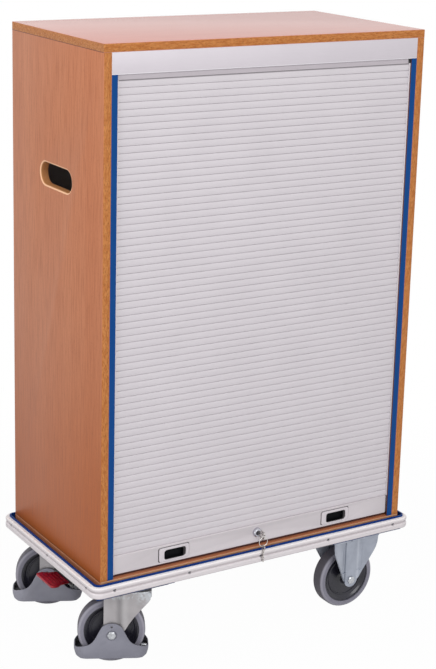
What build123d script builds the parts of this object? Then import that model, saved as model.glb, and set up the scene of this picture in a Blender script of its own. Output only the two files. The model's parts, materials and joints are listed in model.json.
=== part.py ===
"""Document trolley: a tambour-fronted filing cabinet on a steel base frame with castors.

Millimetres, +Z up, +X along the cabinet's width, -Y the shutter side, Z = 0 on the floor.
"""
from build123d import *
import os
from math import sin, sqrt, atan2, degrees, radians

os.makedirs("parts", exist_ok=True)

# Cabinet
CABINET_W = 850.0          # outside width of the cabinet
CABINET_D = 457.0          # outside depth of the cabinet
BOARD = 19.0               # coated chipboard
THIN_BOARD = 8.0           # back and lining boards
SIDE_H = 1205.0            # height of a side panel
BACK_SPACE = 32.0          # room behind the lining for the raised shutter
FACE_STRIP_T = 5.0         # pelmet and trim strips
FACE_STRIP_W = 14.5        # face width of a trim strip
PELMET_H = 48.0
HAND_HOLE_L = 157.0
HAND_HOLE_H = 51.5
HAND_HOLE_DOWN = 307.0     # middle of a hand hole below the top of its panel
HAND_HOLE_ROUND = 4.0
TOP_CHAMFER = 0.8
SHELF_IN = 28.0            # front of a shelf behind the cabinet's front
SHELF_PIN_R = 2.5
SHELF_PIN_IN = (78.5, 98.5)             # pins from the cabinet's front and back
SHELF_PLAY = 0.5
SHELF_SET = 0.02           # shelf above its pins

# Roll shutter
SLAT_PITCH_NEAR = 15.8     # the pitch is trimmed to fill the opening
SLAT_TUCK = 2.6            # top slat behind the pelmet
SLAT_T = 8.0
SLAT_SET_BACK = 6.1        # front of the slats behind the cabinet's front
V_GROOVE_W = 2.6
V_GROOVE_D = 2.4
TRACK_PLAY = 0.5           # on each side of a slat in its groove
TRACK_DEPTH = 9.0
TRACK_END_PLAY = 2.0
TRACK_TOP_R = 40.0
TRACK_UNDER_TOP = 5.0
TRACK_BACK = 13.0          # from the track's rear run to the back panel
BAR_H = 46.0
BAR_T = 14.0
BAR_SET_BACK = 3.0
BAR_LIFT_OFF = 9.0         # front of the closed bar above the bottom panel
BAR_LIP_T = 6.0            # sealing lip under the back of the bar
BAR_LIP_GAP = 1.0
BAR_SIDE_PLAY = 5.0        # from the bar to a trim strip
BAR_CHAMFER = 1.0
PULL_IN = 195.0            # finger pulls, from the cabinet's sides
PULL_RECESS = (84.0, 37.0, 3.5, 6.0)    # length, height, depth, corner radius
PULL_POCKET = (57.0, 22.0, 9.0, 4.0)
PULL_WALL = 1.2
PULL_ABOVE_BAR_FOOT = 22.5
PULL_POCKET_DROP = 3.0     # pocket below the middle of its recess

# Lock and keys
LOCK_ABOVE_BAR_FOOT = 27.0
LOCK_DOME_R = 11.5
LOCK_DOME_H = 8.0
LOCK_SHANK_R = 9.0
PLUG_R = 6.0
CAM = (42.0, 12.0, 4.0)    # reach, width, thickness
KEY_T = 2.4
KEY_BOW_R = 12.0
KEY_HOLE_R = 3.5
KEY_HOLE_OUT = 22.5        # key ring hole in front of the lock's dome
RING_R = 11.5
WIRE_R = 0.8
SPARE_BOW_R = 8.0
SPARE_HOLE_R = 2.2
SPARE_BLADE_W = 7.0
SPARE_T = 2.0
SPARE_REACH = 40.0         # from the ring's wire to the tip

# Base frame and bumper
ANGLE_LEG = (40.0, 36.0)   # flat leg and upright leg of the frame's angle steel
STEEL = 4.0
FRAME_RIM = (16.0, 11.5)   # frame beyond the cabinet, at the ends and at front and back
FRAME_R = 15.0
FRAME_FOOT_R = 5.0         # outside of the fold along the foot
FRAME_WINDOW_R = 12.0
DECK_T = 15.0
DECK_PLAY = 0.5
CROSS_PLATE_IN_SET = 7.0   # castors' cross plates inside the frame's outline
CROSS_PLATE_REACH = 78.0   # inner edge of a castor's cross plate from the castor's axis
BUMPER_UP = 9.0            # bumper's foot above the frame's foot
BUMPER_H = 27.0
BUMPER_BULGE = 10.0
BUMPER_GROOVE = 7.0
BUMPER_GROOVE_H = 4.0
BUMPER_GROOVE_UP = 0.58    # middle of the groove, as a share of the height
BUMPER_ROUND = 4.0
SCREW_R = 1.75
SCREW_HEAD_R = 3.3
SCREW_POCKET_R = 4.0
SCREW_SEAT = 4.0           # a head's underside from the frame
SCREW_HEAD = ((1.0, 0.8), (0.67, 1.9), (0.0, 2.2))    # share of the head's radius, height
SCREW_IN = (44.0, 37.0)    # end screws from the frame's ends, and from its front and back

# Castors
WHEEL_R = 80.0
WHEEL_TO_CROWN = 21.5      # room over the wheel, with the brake plunger in it
TYRE_W = 36.0
TYRE_WALL = 15.5
TYRE_SHOULDER_R = 7.0
TYRE_SEAT_R = 1.0
RIM_SET_IN = 3.0           # rim of the wheel centre inside the tyre's face
RIM_W = 4.0
DISH_DEPTH = 5.0
HUB_R = 15.0
HUB_FOOT = 9.0
AXLE_R = 6.0
AXLE_HEAD_R = 10.5
AXLE_HEAD_H = 5.0
LEG_T = 4.0
LEG_OUT = 37.0             # outer face of a fork leg from the wheel's mid-plane
LEG_HALF_W = 19.0
SWIVEL_IN = 133.0          # castor axes from the frame's ends
FIXED_IN = 139.0
CASTOR_IN = 68.0           # castor axes from the frame's front and back
TRAIL = 50.0
SWIVEL_TURN = -27.0        # resting turn of both swivel castors, degrees about +Z
CROWN_NOSE = 44.0          # front of the crown from the swivel axis
CROWN_NOSE_R = 16.0
CROWN_RIM = 14.0           # turned-down rim at the nose
CROWN_ROUND = 3.5
CROWN_GAP = 0.5
PIN_R = 12.0
PIN_FLANGE = (18.0, 4.0)   # radius, thickness
PIN_GAP = 0.3
PIN_SEAT = 0.02
PIN_SINK = (9.5, 4.5)      # radius and depth of the hollow for the brake's fingers
WING_BEND = 5.0
FLUTE = (14.0, 0.8, 24.0)  # radius and depth of the flute along a fold, its foot above the axle
WING_REACH = 73.0          # swivel fork's wing beyond its leg
WING_EDGE = ((0, 0.0), (0.18, 0.1), (0.29, 0.237), (0.44, 0.389), (0.62, 0.54), (0.82, 0.692),
             (0.93, 0.777), (0.985, 0.84))
HEAD_R = 30.0
HEAD_WALL = 3.0
HEAD_H = 12.0
PLATE_HALF = (70.0, 55.0)
PLATE_BOLT = (52.5, 40.0)
PLATE_R = 8.0
FIXED_PLATE_HALF = (70.0, 60.0)
FIXED_BOLT = (56.0, 35.0)
BOLT_R = 4.0
BOLT_HEAD_R = 7.0
BOLT_HEAD_H = 5.0
FLARE_REACH = 47.5         # fixed bracket's wing, along X
FLARE_OUT = 20.0
FLARE_EDGE = ((0, -0.02), (0.09, 0.03), (0.28, 0.204), (0.525, 0.4), (0.71, 0.554), (0.84, 0.666),
              (0.91, 0.74), (0.97, 0.85))
GUARD_ROOM = (8.0, 5.0)   # guard beyond the wheel along its roll, and beyond a fork leg
GUARD_R = 32.0
GUARD_WALL = 3.0
GUARD_FOOT = 21.0          # above the floor
GUARD_RISE = 30.0          # top of the bell above the axle
GUARD_BELL = ((0.16, 0.966), (0.244, 0.91), (0.318, 0.798), (0.369, 0.697), (0.448, 0.546), (0.568, 0.413),
              (0.716, 0.354), (0.85, 0.303), (1.0, 0.225))   # shares of the half length and of the height
GUARD_SWEEP = 15.0         # swept-up ends of the foot
GUARD_BOSS_R = 16.0
GUARD_SEAT = (12.5, 1.5)   # radius and depth of the recess round the axle's head
GUARD_WEB = (8.0, 20.0)    # height of the web in each end, and its reach from the end
GUARD_HOLE = (2.6, 21.0)   # radius, height above the axle

# Central brake
PEDAL_IN = 44.0            # pedal axis from the frame's end
PEDAL_DROP = 47.0          # and below the castor plates
PEDAL_HUB_R = 8.0
PEDAL_HUB_HALF = 47.0
PEDAL_PIN_R = 4.0
PEDAL_HALF_W = 45.0
PEDAL_NECK = ((18.0, 0.0), (30.0, 9.0))    # from the outer edge, in from the pad's half width
PEDAL_NECK_HALF = 33.0     # at the hub
PEDAL_NECK_R = 8.0
PEDAL_REACH = 61.0
PEDAL_T = 4.5
PEDAL_CORNER_R = 9.0
PEDAL_EDGE_R = 2.0
PEDAL_RIBS = 5
PEDAL_RIB = (9.0, 4.0, 1.4)             # pitch, groove's width, groove's depth
PEDAL_RIB_IN = (6.0, 5.0)  # grooves from the outer edge, and from the pad's ends
PEDAL_PLAY = 0.6           # from the pad to the hub
TONGUE = (12.0, 16.0, 3.0)              # lever's tongue inside the pad's edges, thickness
PEDAL_SET_IN = 2.0         # top of the pad under the top of the hub
PEDAL_SLOPE = -3.0
ARM_SHARE = 0.5125         # pedal's arm in the distance from the pedal to the shaft
LINK_PIN_R = 3.0
LINK_PLAY = 0.6
LINK_PLATE = (4.0, 5.0)    # thickness of an arm's plate, half height
LINK_GAP = 1.0             # from an arm's plate to the shaft's lever
EAR_T = 3.0
EAR_GAP = 1.0
EAR_PLATE = (28.0, 8.0)    # plate between the ears, outwards and inwards of the axis
PIN_HEAD = (2.0, 2.0)      # proud of the pin, thickness
SHAFT_OFFSET = 20.0        # brake shaft from the swivel axes, along X
SHAFT_R = 4.0
FINGER = (24.0, 6.0, 4.0)  # reach, width, thickness
SHAFT_LEVER = (4.0, 4.0)   # half thickness, wall round the slot
SLOT_RUN = 5.0             # slot beyond the link pin
SHAFT_END = 8.0            # shaft beyond the swivel axes
PLUNGER_R = 4.0
PLUNGER_FOOT_R = 11.0
PLUNGER_FOOT_T = 6.0
PLUNGER_LIFT = 6.5         # open brake's foot above the tyre
CLIP_IN = 78.0             # shaft clips from the swivel axes
CLIP_HALF = (9.0, 7.0)

RUN = 0.05                 # running fit on a radius
FIT = 0.05                 # assembly gap between fixed round pieces

# Derived places and levels
HALF_W = CABINET_W / 2
HALF_D = CABINET_D / 2
FRAME_HALF = (HALF_W + FRAME_RIM[0], HALF_D + FRAME_RIM[1])
TYRE_INNER_R = WHEEL_R - TYRE_WALL
CASTOR_H = 2 * WHEEL_R + WHEEL_TO_CROWN + LEG_T + CROWN_GAP + HEAD_H + STEEL
SWIVEL_X = SWIVEL_IN - FRAME_HALF[0]
FIXED_X = FRAME_HALF[0] - FIXED_IN
CASTOR_Y = FRAME_HALF[1] - CASTOR_IN
CROSS_PLATE_IN = (SWIVEL_X + CROSS_PLATE_REACH, FIXED_X - CROSS_PLATE_REACH)
SCREW_X = [i / 2 * (FRAME_HALF[0] - SCREW_IN[0]) for i in range(-2, 3)]
SCREW_Y = [i * (FRAME_HALF[1] - SCREW_IN[1]) for i in range(-1, 2)]
GUARD_HALF = (WHEEL_R + GUARD_ROOM[0], LEG_OUT + GUARD_ROOM[1])
GUARD_TOP = WHEEL_R + GUARD_RISE
PEDAL_AXIS = (PEDAL_IN - FRAME_HALF[0], CASTOR_H - PEDAL_DROP)
CLIP_Y = CASTOR_Y - CLIP_IN
PULL_X = HALF_W - PULL_IN
Z_FRAME = CASTOR_H + STEEL
Z_DECK = Z_FRAME + STEEL
Z_FLOOR = Z_DECK + DECK_T
Z_SIDE = Z_FLOOR + BOARD
Z_TOP = Z_SIDE + SIDE_H
Z_PELMET = Z_TOP - PELMET_H
Z_RIM = Z_FRAME + ANGLE_LEG[1]
HAND_HOLE_Z = Z_TOP - HAND_HOLE_DOWN
INNER_X = HALF_W - BOARD
FRONT = -HALF_D
BAR_Z = Z_SIDE + BAR_LIFT_OFF
SLAT_Z = BAR_Z + BAR_H
SLAT_TOP = Z_PELMET + SLAT_TUCK
SLAT_COUNT = round((SLAT_TOP - SLAT_Z) / SLAT_PITCH_NEAR)
SLAT_PITCH = (SLAT_TOP - SLAT_Z) / SLAT_COUNT
SLAT_FRONT = FRONT + SLAT_SET_BACK
SLAT_BACK = SLAT_FRONT + SLAT_T
SLAT_END = INNER_X + TRACK_DEPTH - TRACK_END_PLAY
BAR_FRONT = FRONT + BAR_SET_BACK
BAR_BACK = BAR_FRONT + BAR_T
LINING_BACK = HALF_D - THIN_BOARD - BACK_SPACE
LINING_FRONT = LINING_BACK - THIN_BOARD
LOCK_Z = BAR_Z + LOCK_ABOVE_BAR_FOOT
PULL_Z = BAR_Z + PULL_ABOVE_BAR_FOOT
POCKET_Z = PULL_Z - PULL_POCKET_DROP
DOME_FRONT = BAR_FRONT - LOCK_DOME_H
KEY_HOLE_Y = DOME_FRONT - KEY_HOLE_OUT
RING_TOP_Z = LOCK_Z - KEY_HOLE_R + WIRE_R + 0.3
RING_Z = RING_TOP_Z - RING_R
RING_FOOT_Z = RING_Z - RING_R
PLATE_Z = CASTOR_H - STEEL
HEAD_Z = PLATE_Z - HEAD_H
CROWN_TOP = HEAD_Z - CROWN_GAP
CROWN_Z = CROWN_TOP - LEG_T
LEG_IN = LEG_OUT - LEG_T
SHAFT_X = SWIVEL_X - SHAFT_OFFSET
SHAFT_Z = HEAD_Z + HEAD_WALL + SHAFT_R + CROWN_GAP
BUMPER_Z = CASTOR_H + BUMPER_UP
SCREW_Z = BUMPER_Z + BUMPER_GROOVE_UP * BUMPER_H
SHELF_STEP = (Z_PELMET - Z_SIDE - 2 * BOARD) / 3 + BOARD
SHELF_Z = [Z_SIDE + SHELF_STEP - BOARD, Z_SIDE + 2 * SHELF_STEP - BOARD]
SHELF_FRONT = FRONT + SHELF_IN
PIN_Y = (FRONT + SHELF_PIN_IN[0], HALF_D - SHELF_PIN_IN[1])


def box(x0, x1, y0, y1, z0, z1):
    return Pos((x0 + x1) / 2, (y0 + y1) / 2, (z0 + z1) / 2) * Box(x1 - x0, y1 - y0, z1 - z0)


def slab(half_x, half_y, radius, z0, z1):
    return Pos(0, 0, z0) * extrude(RectangleRounded(2 * half_x, 2 * half_y, radius), z1 - z0)


def turned(points):
    """Solid of revolution about Z from (radius, height) points."""
    return revolve(Plane.XZ * make_face(Polyline(*points, close=True)), Axis.Z)


def rod(radius, x, y0, y1, z):
    """Round bar along Y."""
    return Pos(x, (y0 + y1) / 2, z) * Rot(90, 0, 0) * Cylinder(radius, abs(y1 - y0))


def side_plate(face, y0, y1):
    """Plate cut to an outline drawn in X and Z, between two Y planes."""
    return Pos(0, y1, 0) * extrude(Plane.XZ * face, y1 - y0)


def front_pocket(length, height, radius, y0, y1, x, z):
    """Rounded block whose outline lies in X and Z."""
    return Pos(x, 0, z) * side_plate(RectangleRounded(length, height, radius), y0, y1)


# Base frame: welded angle steel, with plates across both ends for the castors
def screw_places():
    """Position and outward turn about Z of each bumper screw, on the frame's outer face."""
    places = []
    for side in (-1, 1):
        for x in SCREW_X:
            places.append((x, side * FRAME_HALF[1], 0 if side < 0 else 180))
        for y in SCREW_Y:
            places.append((side * FRAME_HALF[0], y, -90 if side < 0 else 90))
    return places


def castor_bolt_places():
    places = []
    for sy in (-1, 1):
        for x, grid in ((SWIVEL_X, PLATE_BOLT), (FIXED_X, FIXED_BOLT)):
            for dx in (-1, 1):
                for dy in (-1, 1):
                    places.append((x + dx * grid[0], sy * CASTOR_Y + dy * grid[1]))
    return places


def base_frame():
    hx, hy = FRAME_HALF
    frame = slab(hx, hy, FRAME_R, Z_FRAME, Z_RIM)
    frame = fillet(frame.edges().group_by(Axis.Z)[0], FRAME_FOOT_R)
    frame -= slab(hx - STEEL, hy - STEEL, FRAME_R - STEEL, Z_DECK, Z_RIM + 1)
    flat = ANGLE_LEG[0]
    frame -= slab(hx - flat, hy - flat, FRAME_WINDOW_R, Z_FRAME - 1, Z_DECK + 1)
    reach, y = hx - CROSS_PLATE_IN_SET, hy - CROSS_PLATE_IN_SET
    frame += box(-reach, CROSS_PLATE_IN[0], -y, y, CASTOR_H, Z_FRAME)
    frame += box(CROSS_PLATE_IN[1], reach, -y, y, CASTOR_H, Z_FRAME)
    for x, y in castor_bolt_places():
        frame -= Pos(x, y, Z_FRAME) * Cylinder(BOLT_R + FIT, 4 * STEEL)
    for x, y, turn in screw_places():
        frame -= Pos(x, y, SCREW_Z) * Rot(0, 0, turn) * rod(SCREW_R + FIT, 0, -2 * STEEL, 2 * STEEL, 0)
    return frame


def bumper_strip():
    """Two round lobes with a groove between them, and a pocket in the groove for each screw."""
    hx, hy = FRAME_HALF
    out, groove = BUMPER_BULGE, BUMPER_GROOVE_H / 2
    strip = slab(hx + BUMPER_GROOVE, hy + BUMPER_GROOVE, FRAME_R + BUMPER_GROOVE,
                 SCREW_Z - BUMPER_ROUND - groove, SCREW_Z + BUMPER_ROUND + groove)
    for z0, z1 in ((BUMPER_Z, SCREW_Z - groove), (SCREW_Z + groove, BUMPER_Z + BUMPER_H)):
        lobe = slab(hx + out, hy + out, FRAME_R + out, z0, z1)
        strip += fillet(lobe.edges().filter_by(Plane.XY), BUMPER_ROUND)
    strip -= slab(hx + FIT, hy + FIT, FRAME_R + FIT, CASTOR_H, Z_RIM)
    hole = rod(SCREW_R + FIT, 0, -2 * out, 2 * STEEL, 0)
    hole += rod(SCREW_POCKET_R, 0, -2 * out, -SCREW_SEAT, 0)
    for x, y, turn in screw_places():
        strip -= Pos(x, y, SCREW_Z) * Rot(0, 0, turn) * hole
    return strip


def bumper_screws():
    dome = [(share * SCREW_HEAD_R, height) for share, height in SCREW_HEAD]
    head = Rot(90, 0, 0) * turned([(0, 0), (SCREW_HEAD_R, 0)] + dome)
    screw = Pos(0, -SCREW_SEAT, 0) * head
    screw += rod(SCREW_R, 0, -SCREW_SEAT, STEEL - 4 * FIT, 0)
    return Compound([Pos(x, y, SCREW_Z) * Rot(0, 0, turn) * screw for x, y, turn in screw_places()])


def deck_board():
    hx, hy = FRAME_HALF
    inset = STEEL + DECK_PLAY
    return slab(hx - inset, hy - inset, FRAME_R - inset, Z_DECK, Z_FLOOR)


# Cabinet carcass
def bottom_panel():
    panel = box(-HALF_W, HALF_W, -HALF_D, HALF_D, Z_FLOOR, Z_SIDE)
    reach, width, thick = CAM
    cam_y = BAR_BACK + 0.5
    return panel - box(-9, reach - 6, cam_y - 1, cam_y + thick + 1, LOCK_Z - reach - 4, Z_SIDE + 1)


def shutter_track():
    """Groove for the slats: up the front, round under the top, down behind the lining."""
    y0, y1 = SLAT_FRONT - TRACK_PLAY, LINING_BACK + BACK_SPACE - TRACK_BACK
    z0, z1 = Z_SIDE - 4 * TRACK_TOP_R, Z_TOP - TRACK_UNDER_TOP
    width = SLAT_T + 2 * TRACK_PLAY
    outer = RectangleRounded(y1 - y0, z1 - z0, TRACK_TOP_R)
    inner = RectangleRounded(y1 - y0 - 2 * width, z1 - z0 - 2 * width, TRACK_TOP_R - width)
    ring = Pos((y0 + y1) / 2, (z0 + z1) / 2) * (outer - inner)
    return Pos(INNER_X - 1, 0, 0) * extrude(Plane.YZ * ring, TRACK_DEPTH + 1)


def right_side_panel():
    panel = box(INNER_X, HALF_W, -HALF_D, HALF_D, Z_SIDE, Z_TOP)
    panel -= shutter_track()
    hole = Plane.YZ * (Pos(0, HAND_HOLE_Z) * SlotOverall(HAND_HOLE_L, HAND_HOLE_H))
    panel -= Pos(INNER_X - 1, 0, 0) * extrude(hole, BOARD + 2)
    rim = panel.edges().filter_by_position(Axis.X, HALF_W - 0.01, HALF_W + 0.01)
    rim = [e for e in rim if abs(e.center().Z - HAND_HOLE_Z) < HAND_HOLE_H]
    rim = [e for e in rim if abs(e.center().Y) < HAND_HOLE_L]
    panel = fillet(rim, HAND_HOLE_ROUND)
    for z in SHELF_Z:
        for y in PIN_Y:
            hole = Rot(0, 90, 0) * Cylinder(SHELF_PIN_R + FIT, BOARD)
            panel -= Pos(INNER_X, y, z - SHELF_PIN_R - SHELF_SET) * hole
    return panel


def top_panel():
    panel = box(-HALF_W, HALF_W, -HALF_D, HALF_D, Z_TOP, Z_TOP + BOARD)
    return chamfer(panel.edges().group_by(Axis.Z)[-1], TOP_CHAMFER)


def shelf_pins():
    pins = []
    for z in SHELF_Z:
        for y in PIN_Y:
            for side in (-1, 1):
                pin = Rot(0, 90, 0) * Cylinder(SHELF_PIN_R, BOARD - 4 * FIT)
                pins.append(Pos(side * INNER_X, y, z - SHELF_PIN_R - SHELF_SET) * pin)
    return Compound(pins)


def shelf(z):
    x = INNER_X - SHELF_PLAY
    return box(-x, x, SHELF_FRONT, LINING_FRONT - SHELF_PLAY, z, z + BOARD)


def trim_strip():
    return box(INNER_X - FACE_STRIP_W, INNER_X, FRONT, FRONT + FACE_STRIP_T, Z_SIDE, Z_PELMET)


# Roll shutter
def shutter_slats():
    points = [(SLAT_BACK, SLAT_Z), (SLAT_FRONT, SLAT_Z)]
    for i in range(1, SLAT_COUNT):
        z = SLAT_Z + i * SLAT_PITCH
        half = V_GROOVE_W / 2
        points += [(SLAT_FRONT, z - half), (SLAT_FRONT + V_GROOVE_D, z), (SLAT_FRONT, z + half)]
    points += [(SLAT_FRONT, SLAT_TOP), (SLAT_BACK, SLAT_TOP)]
    face = Plane.YZ * make_face(Polyline(*points, close=True))
    return Pos(-SLAT_END, 0, 0) * extrude(face, 2 * SLAT_END)


def shutter_bar():
    body_x = INNER_X - FACE_STRIP_W - BAR_SIDE_PLAY
    bar = box(-body_x, body_x, BAR_FRONT, BAR_BACK, BAR_Z, SLAT_Z)
    bar = chamfer(bar.edges().filter_by(Axis.X).group_by(Axis.Y)[0], BAR_CHAMFER)
    bar += box(-SLAT_END, SLAT_END, SLAT_FRONT, SLAT_BACK, BAR_Z, SLAT_Z)
    bar += box(-body_x, body_x, BAR_BACK - BAR_LIP_T, BAR_BACK, Z_SIDE + BAR_LIP_GAP, BAR_Z)
    for x in (-PULL_X, PULL_X):
        length, height, depth, radius = PULL_RECESS
        bar -= front_pocket(length, height, radius, BAR_FRONT - 1, BAR_FRONT + depth, x, PULL_Z)
        length, height, deep, radius = PULL_POCKET
        bar -= front_pocket(length, height, radius, BAR_FRONT, BAR_FRONT + depth + deep, x, POCKET_Z)
    return bar - rod(LOCK_SHANK_R + FIT, 0, BAR_FRONT - 1, BAR_BACK + 1, LOCK_Z)


def finger_pull(x):
    length, height, deep, radius = PULL_POCKET
    y0 = BAR_FRONT + PULL_RECESS[2]
    y1 = y0 + deep
    gap = 2 * FIT
    cup = front_pocket(length - gap, height - gap, radius - FIT, y0, y1 - FIT, x, POCKET_Z)
    wall = 2 * PULL_WALL
    hollow = front_pocket(length - wall, height - wall, radius - PULL_WALL, y0 - 1, y1 - PULL_WALL,
                          x, POCKET_Z)
    return cup - hollow


# Lock and keys
def lock_barrel():
    r, h = LOCK_DOME_R, LOCK_DOME_H
    bore = PLUG_R + RUN
    edge = [(bore, h), (bore + 1.2, h), (9.2, h - 0.9), (10.6, h - 2.6), (11.3, h - 5), (r, 0)]
    outline = [(bore, -BAR_T)] + edge + [(LOCK_SHANK_R, 0), (LOCK_SHANK_R, -BAR_T)]
    return Pos(0, BAR_FRONT, LOCK_Z) * Rot(90, 0, 0) * turned(outline)


def lock_plug():
    reach, width, thick = CAM
    cam_y = BAR_BACK + 0.5
    plug = rod(PLUG_R, 0, DOME_FRONT - 0.4, cam_y + thick, LOCK_Z)
    plug += box(-7, reach, cam_y, cam_y + thick, LOCK_Z - width / 2, LOCK_Z + width / 2)
    half = KEY_T / 2 + FIT
    return plug - box(-half, half, DOME_FRONT - 2, BAR_FRONT + 8, LOCK_Z - 4.05, LOCK_Z + 4.05)


def lock_key():
    half = KEY_T / 2
    bow_y = KEY_HOLE_Y + KEY_BOW_R - 6
    key = Pos(0, bow_y, LOCK_Z) * Rot(0, 90, 0) * Cylinder(KEY_BOW_R, KEY_T)
    key += box(-half, half, bow_y, BAR_FRONT + 7.9, LOCK_Z - 4, LOCK_Z + 4)
    return key - Pos(0, KEY_HOLE_Y, LOCK_Z) * Rot(0, 90, 0) * Cylinder(KEY_HOLE_R, 10)


def key_ring():
    return Pos(0, KEY_HOLE_Y, RING_Z) * Rot(90, 0, 0) * Torus(RING_R, WIRE_R)


def spare_key():
    half = SPARE_T / 2
    bow_z = RING_FOOT_Z - 4.0
    key = Pos(0, KEY_HOLE_Y, bow_z) * Rot(0, 90, 0) * Cylinder(SPARE_BOW_R, SPARE_T)
    w = SPARE_BLADE_W / 2
    tip = RING_FOOT_Z - SPARE_REACH
    key += box(-half, half, KEY_HOLE_Y - w, KEY_HOLE_Y + w, tip, bow_z)
    for i, bite in enumerate((1.4, 2.2, 1.0, 1.8)):
        z = tip + 4 + 5 * i
        key -= box(-5, 5, KEY_HOLE_Y - w - 1, KEY_HOLE_Y - w + bite, z - 1.2, z + 1.2)
    hole_z = RING_FOOT_Z + WIRE_R + 0.3 - SPARE_HOLE_R
    return key - Pos(0, KEY_HOLE_Y, hole_z) * Rot(0, 90, 0) * Cylinder(SPARE_HOLE_R, 10)


# Castor pieces in their own frame: mounting axis on Z, axle along Y
def tyre():
    half = TYRE_W / 2
    flat = Rectangle(WHEEL_R - TYRE_INNER_R, TYRE_W)
    section = Pos((WHEEL_R + TYRE_INNER_R) / 2, 0) * flat
    section = fillet(section.vertices().group_by(Axis.X)[-1], TYRE_SHOULDER_R)
    section = fillet(section.vertices().group_by(Axis.X)[0], TYRE_SEAT_R)
    return Rot(90, 0, 0) * revolve(Plane.XZ * section, Axis.Z)


def wheel_centre():
    bore, rim = AXLE_R + RUN, TYRE_INNER_R - FIT
    hub = LEG_IN - CROWN_GAP
    face = TYRE_W / 2 - RIM_SET_IN
    web = face - DISH_DEPTH
    dish_r = TYRE_INNER_R - RIM_W
    upper = [(bore, hub), (HUB_R, hub), (HUB_R + 1, web + 2), (HUB_R + HUB_FOOT, web),
             (dish_r - DISH_DEPTH, web), (dish_r, face), (rim, face)]
    lower = [(r, -z) for r, z in reversed(upper)]
    return Rot(90, 0, 0) * turned(upper + lower)


def axle(half):
    """Bolt through both legs, with a crowned hexagon head on the -Y end and a nut on the other."""
    bolt = rod(AXLE_R, 0, -half, half, 0)
    edge = [(AXLE_HEAD_R, 0.6 * AXLE_HEAD_H), (0.74 * AXLE_HEAD_R, AXLE_HEAD_H)]
    head = turned([(0, 0), (AXLE_HEAD_R, 0)] + edge + [(0, AXLE_HEAD_H)])
    head &= extrude(RegularPolygon(AXLE_HEAD_R, 6), AXLE_HEAD_H)
    bolt += Pos(0, -half, 0) * Rot(90, 0, 0) * head
    nut = extrude(RegularPolygon(AXLE_HEAD_R, 6), AXLE_HEAD_H)
    return bolt + Pos(0, half, 0) * Rot(-90, 0, 0) * nut


def swivel_plate(inward):
    """Top plate with its drawn head, open on the inward side for the brake shaft."""
    hx, hy = PLATE_HALF
    plate = slab(hx, hy, PLATE_R, PLATE_Z, CASTOR_H)
    seat, inner, floor = PIN_R + PIN_SEAT, HEAD_R - HEAD_WALL, HEAD_Z + HEAD_WALL
    plate += turned([(seat, HEAD_Z), (HEAD_R, HEAD_Z), (HEAD_R, PLATE_Z), (inner, PLATE_Z),
                     (inner, floor), (seat, floor)])
    y0, y1 = sorted((0, inward * (HEAD_R + BOLT_R)))
    half = SHAFT_R + 1
    plate -= box(-SHAFT_OFFSET - half, half - SHAFT_OFFSET, y0, y1, floor, PLATE_Z)
    for dx in (-1, 1):
        for dy in (-1, 1):
            place = Pos(dx * PLATE_BOLT[0], dy * PLATE_BOLT[1], PLATE_Z)
            plate -= place * Cylinder(BOLT_R + FIT, 4 * STEEL)
    return plate


def king_pin():
    bore = PLUNGER_R + RUN
    flange, thick = PIN_FLANGE
    foot = CROWN_Z - PIN_GAP
    top = HEAD_Z + HEAD_WALL
    sink = top - PIN_SINK[1]
    return turned([(bore, foot - thick), (flange, foot - thick), (flange, foot), (PIN_R, foot),
                   (PIN_R, top), (PIN_SINK[0], top), (PIN_SINK[0], sink), (bore, sink)])


def fold_flute(x, side):
    """Round groove pressed along a fold of the outer face of a leg."""
    radius, depth, up = FLUTE
    groove = Cylinder(radius, CROWN_Z - WHEEL_R - up - STEEL, align=(Align.CENTER, Align.CENTER, Align.MIN))
    return Pos(x, side * (LEG_OUT + radius - depth), WHEEL_R + up) * groove


def fork_crown():
    """Pressed crown: narrowing to a rounded nose with a turned-down rim."""
    back, bend = -TRAIL - LEG_HALF_W, LEG_HALF_W - TRAIL
    nose_y = LEG_OUT - (CROWN_NOSE - bend) * sin(radians(WING_BEND))
    right = [(back, LEG_OUT), (bend, LEG_OUT), (CROWN_NOSE, nose_y)]
    left = [(x, -y) for x, y in reversed(right)]
    outline = make_face(Polyline(*(right + left), close=True))
    outline = fillet(outline.vertices().group_by(Axis.X)[-1], CROWN_NOSE_R)
    top = extrude(outline, LEG_T)
    top = fillet(top.edges().group_by(Axis.Z)[-1], CROWN_ROUND)
    rim = extrude(outline - offset(outline, -LEG_T), -CROWN_RIM)
    rim &= box(CROWN_NOSE - CROWN_NOSE_R, 2 * CROWN_NOSE, -LEG_OUT, LEG_OUT, -CROWN_RIM, LEG_T)
    return Pos(0, 0, CROWN_Z) * (top + rim)


def swivel_fork():
    fork = fork_crown()
    ax, bend = -TRAIL, -TRAIL + LEG_HALF_W
    rise = CROWN_Z - WHEEL_R
    lower = Pos(ax, WHEEL_R) * Circle(LEG_HALF_W)
    web = lower + Pos(ax, WHEEL_R + rise / 2) * Rectangle(2 * LEG_HALF_W, rise)
    edge = [(share * WING_REACH, WHEEL_R + up * rise) for share, up in WING_EDGE]
    wing = make_face(Polyline(*edge, (WING_REACH, CROWN_Z), (0, CROWN_Z), close=True))
    for side in (-1, 1):
        y0, y1 = sorted((side * LEG_IN, side * LEG_OUT))
        fork += side_plate(web, y0, y1)
        turn = Rot(0, 0, -side * WING_BEND)
        outer = side * LEG_OUT
        w0, w1 = sorted((0, -side * LEG_T))
        fork += Pos(bend - 0.2, outer, 0) * turn * side_plate(wing, w0, w1)
        fork -= fold_flute(bend, side)
    fork -= rod(AXLE_R + FIT, ax, -2 * LEG_OUT, 2 * LEG_OUT, WHEEL_R)
    return fork - Cylinder(PIN_R + RUN, 3 * CASTOR_H)


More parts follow.
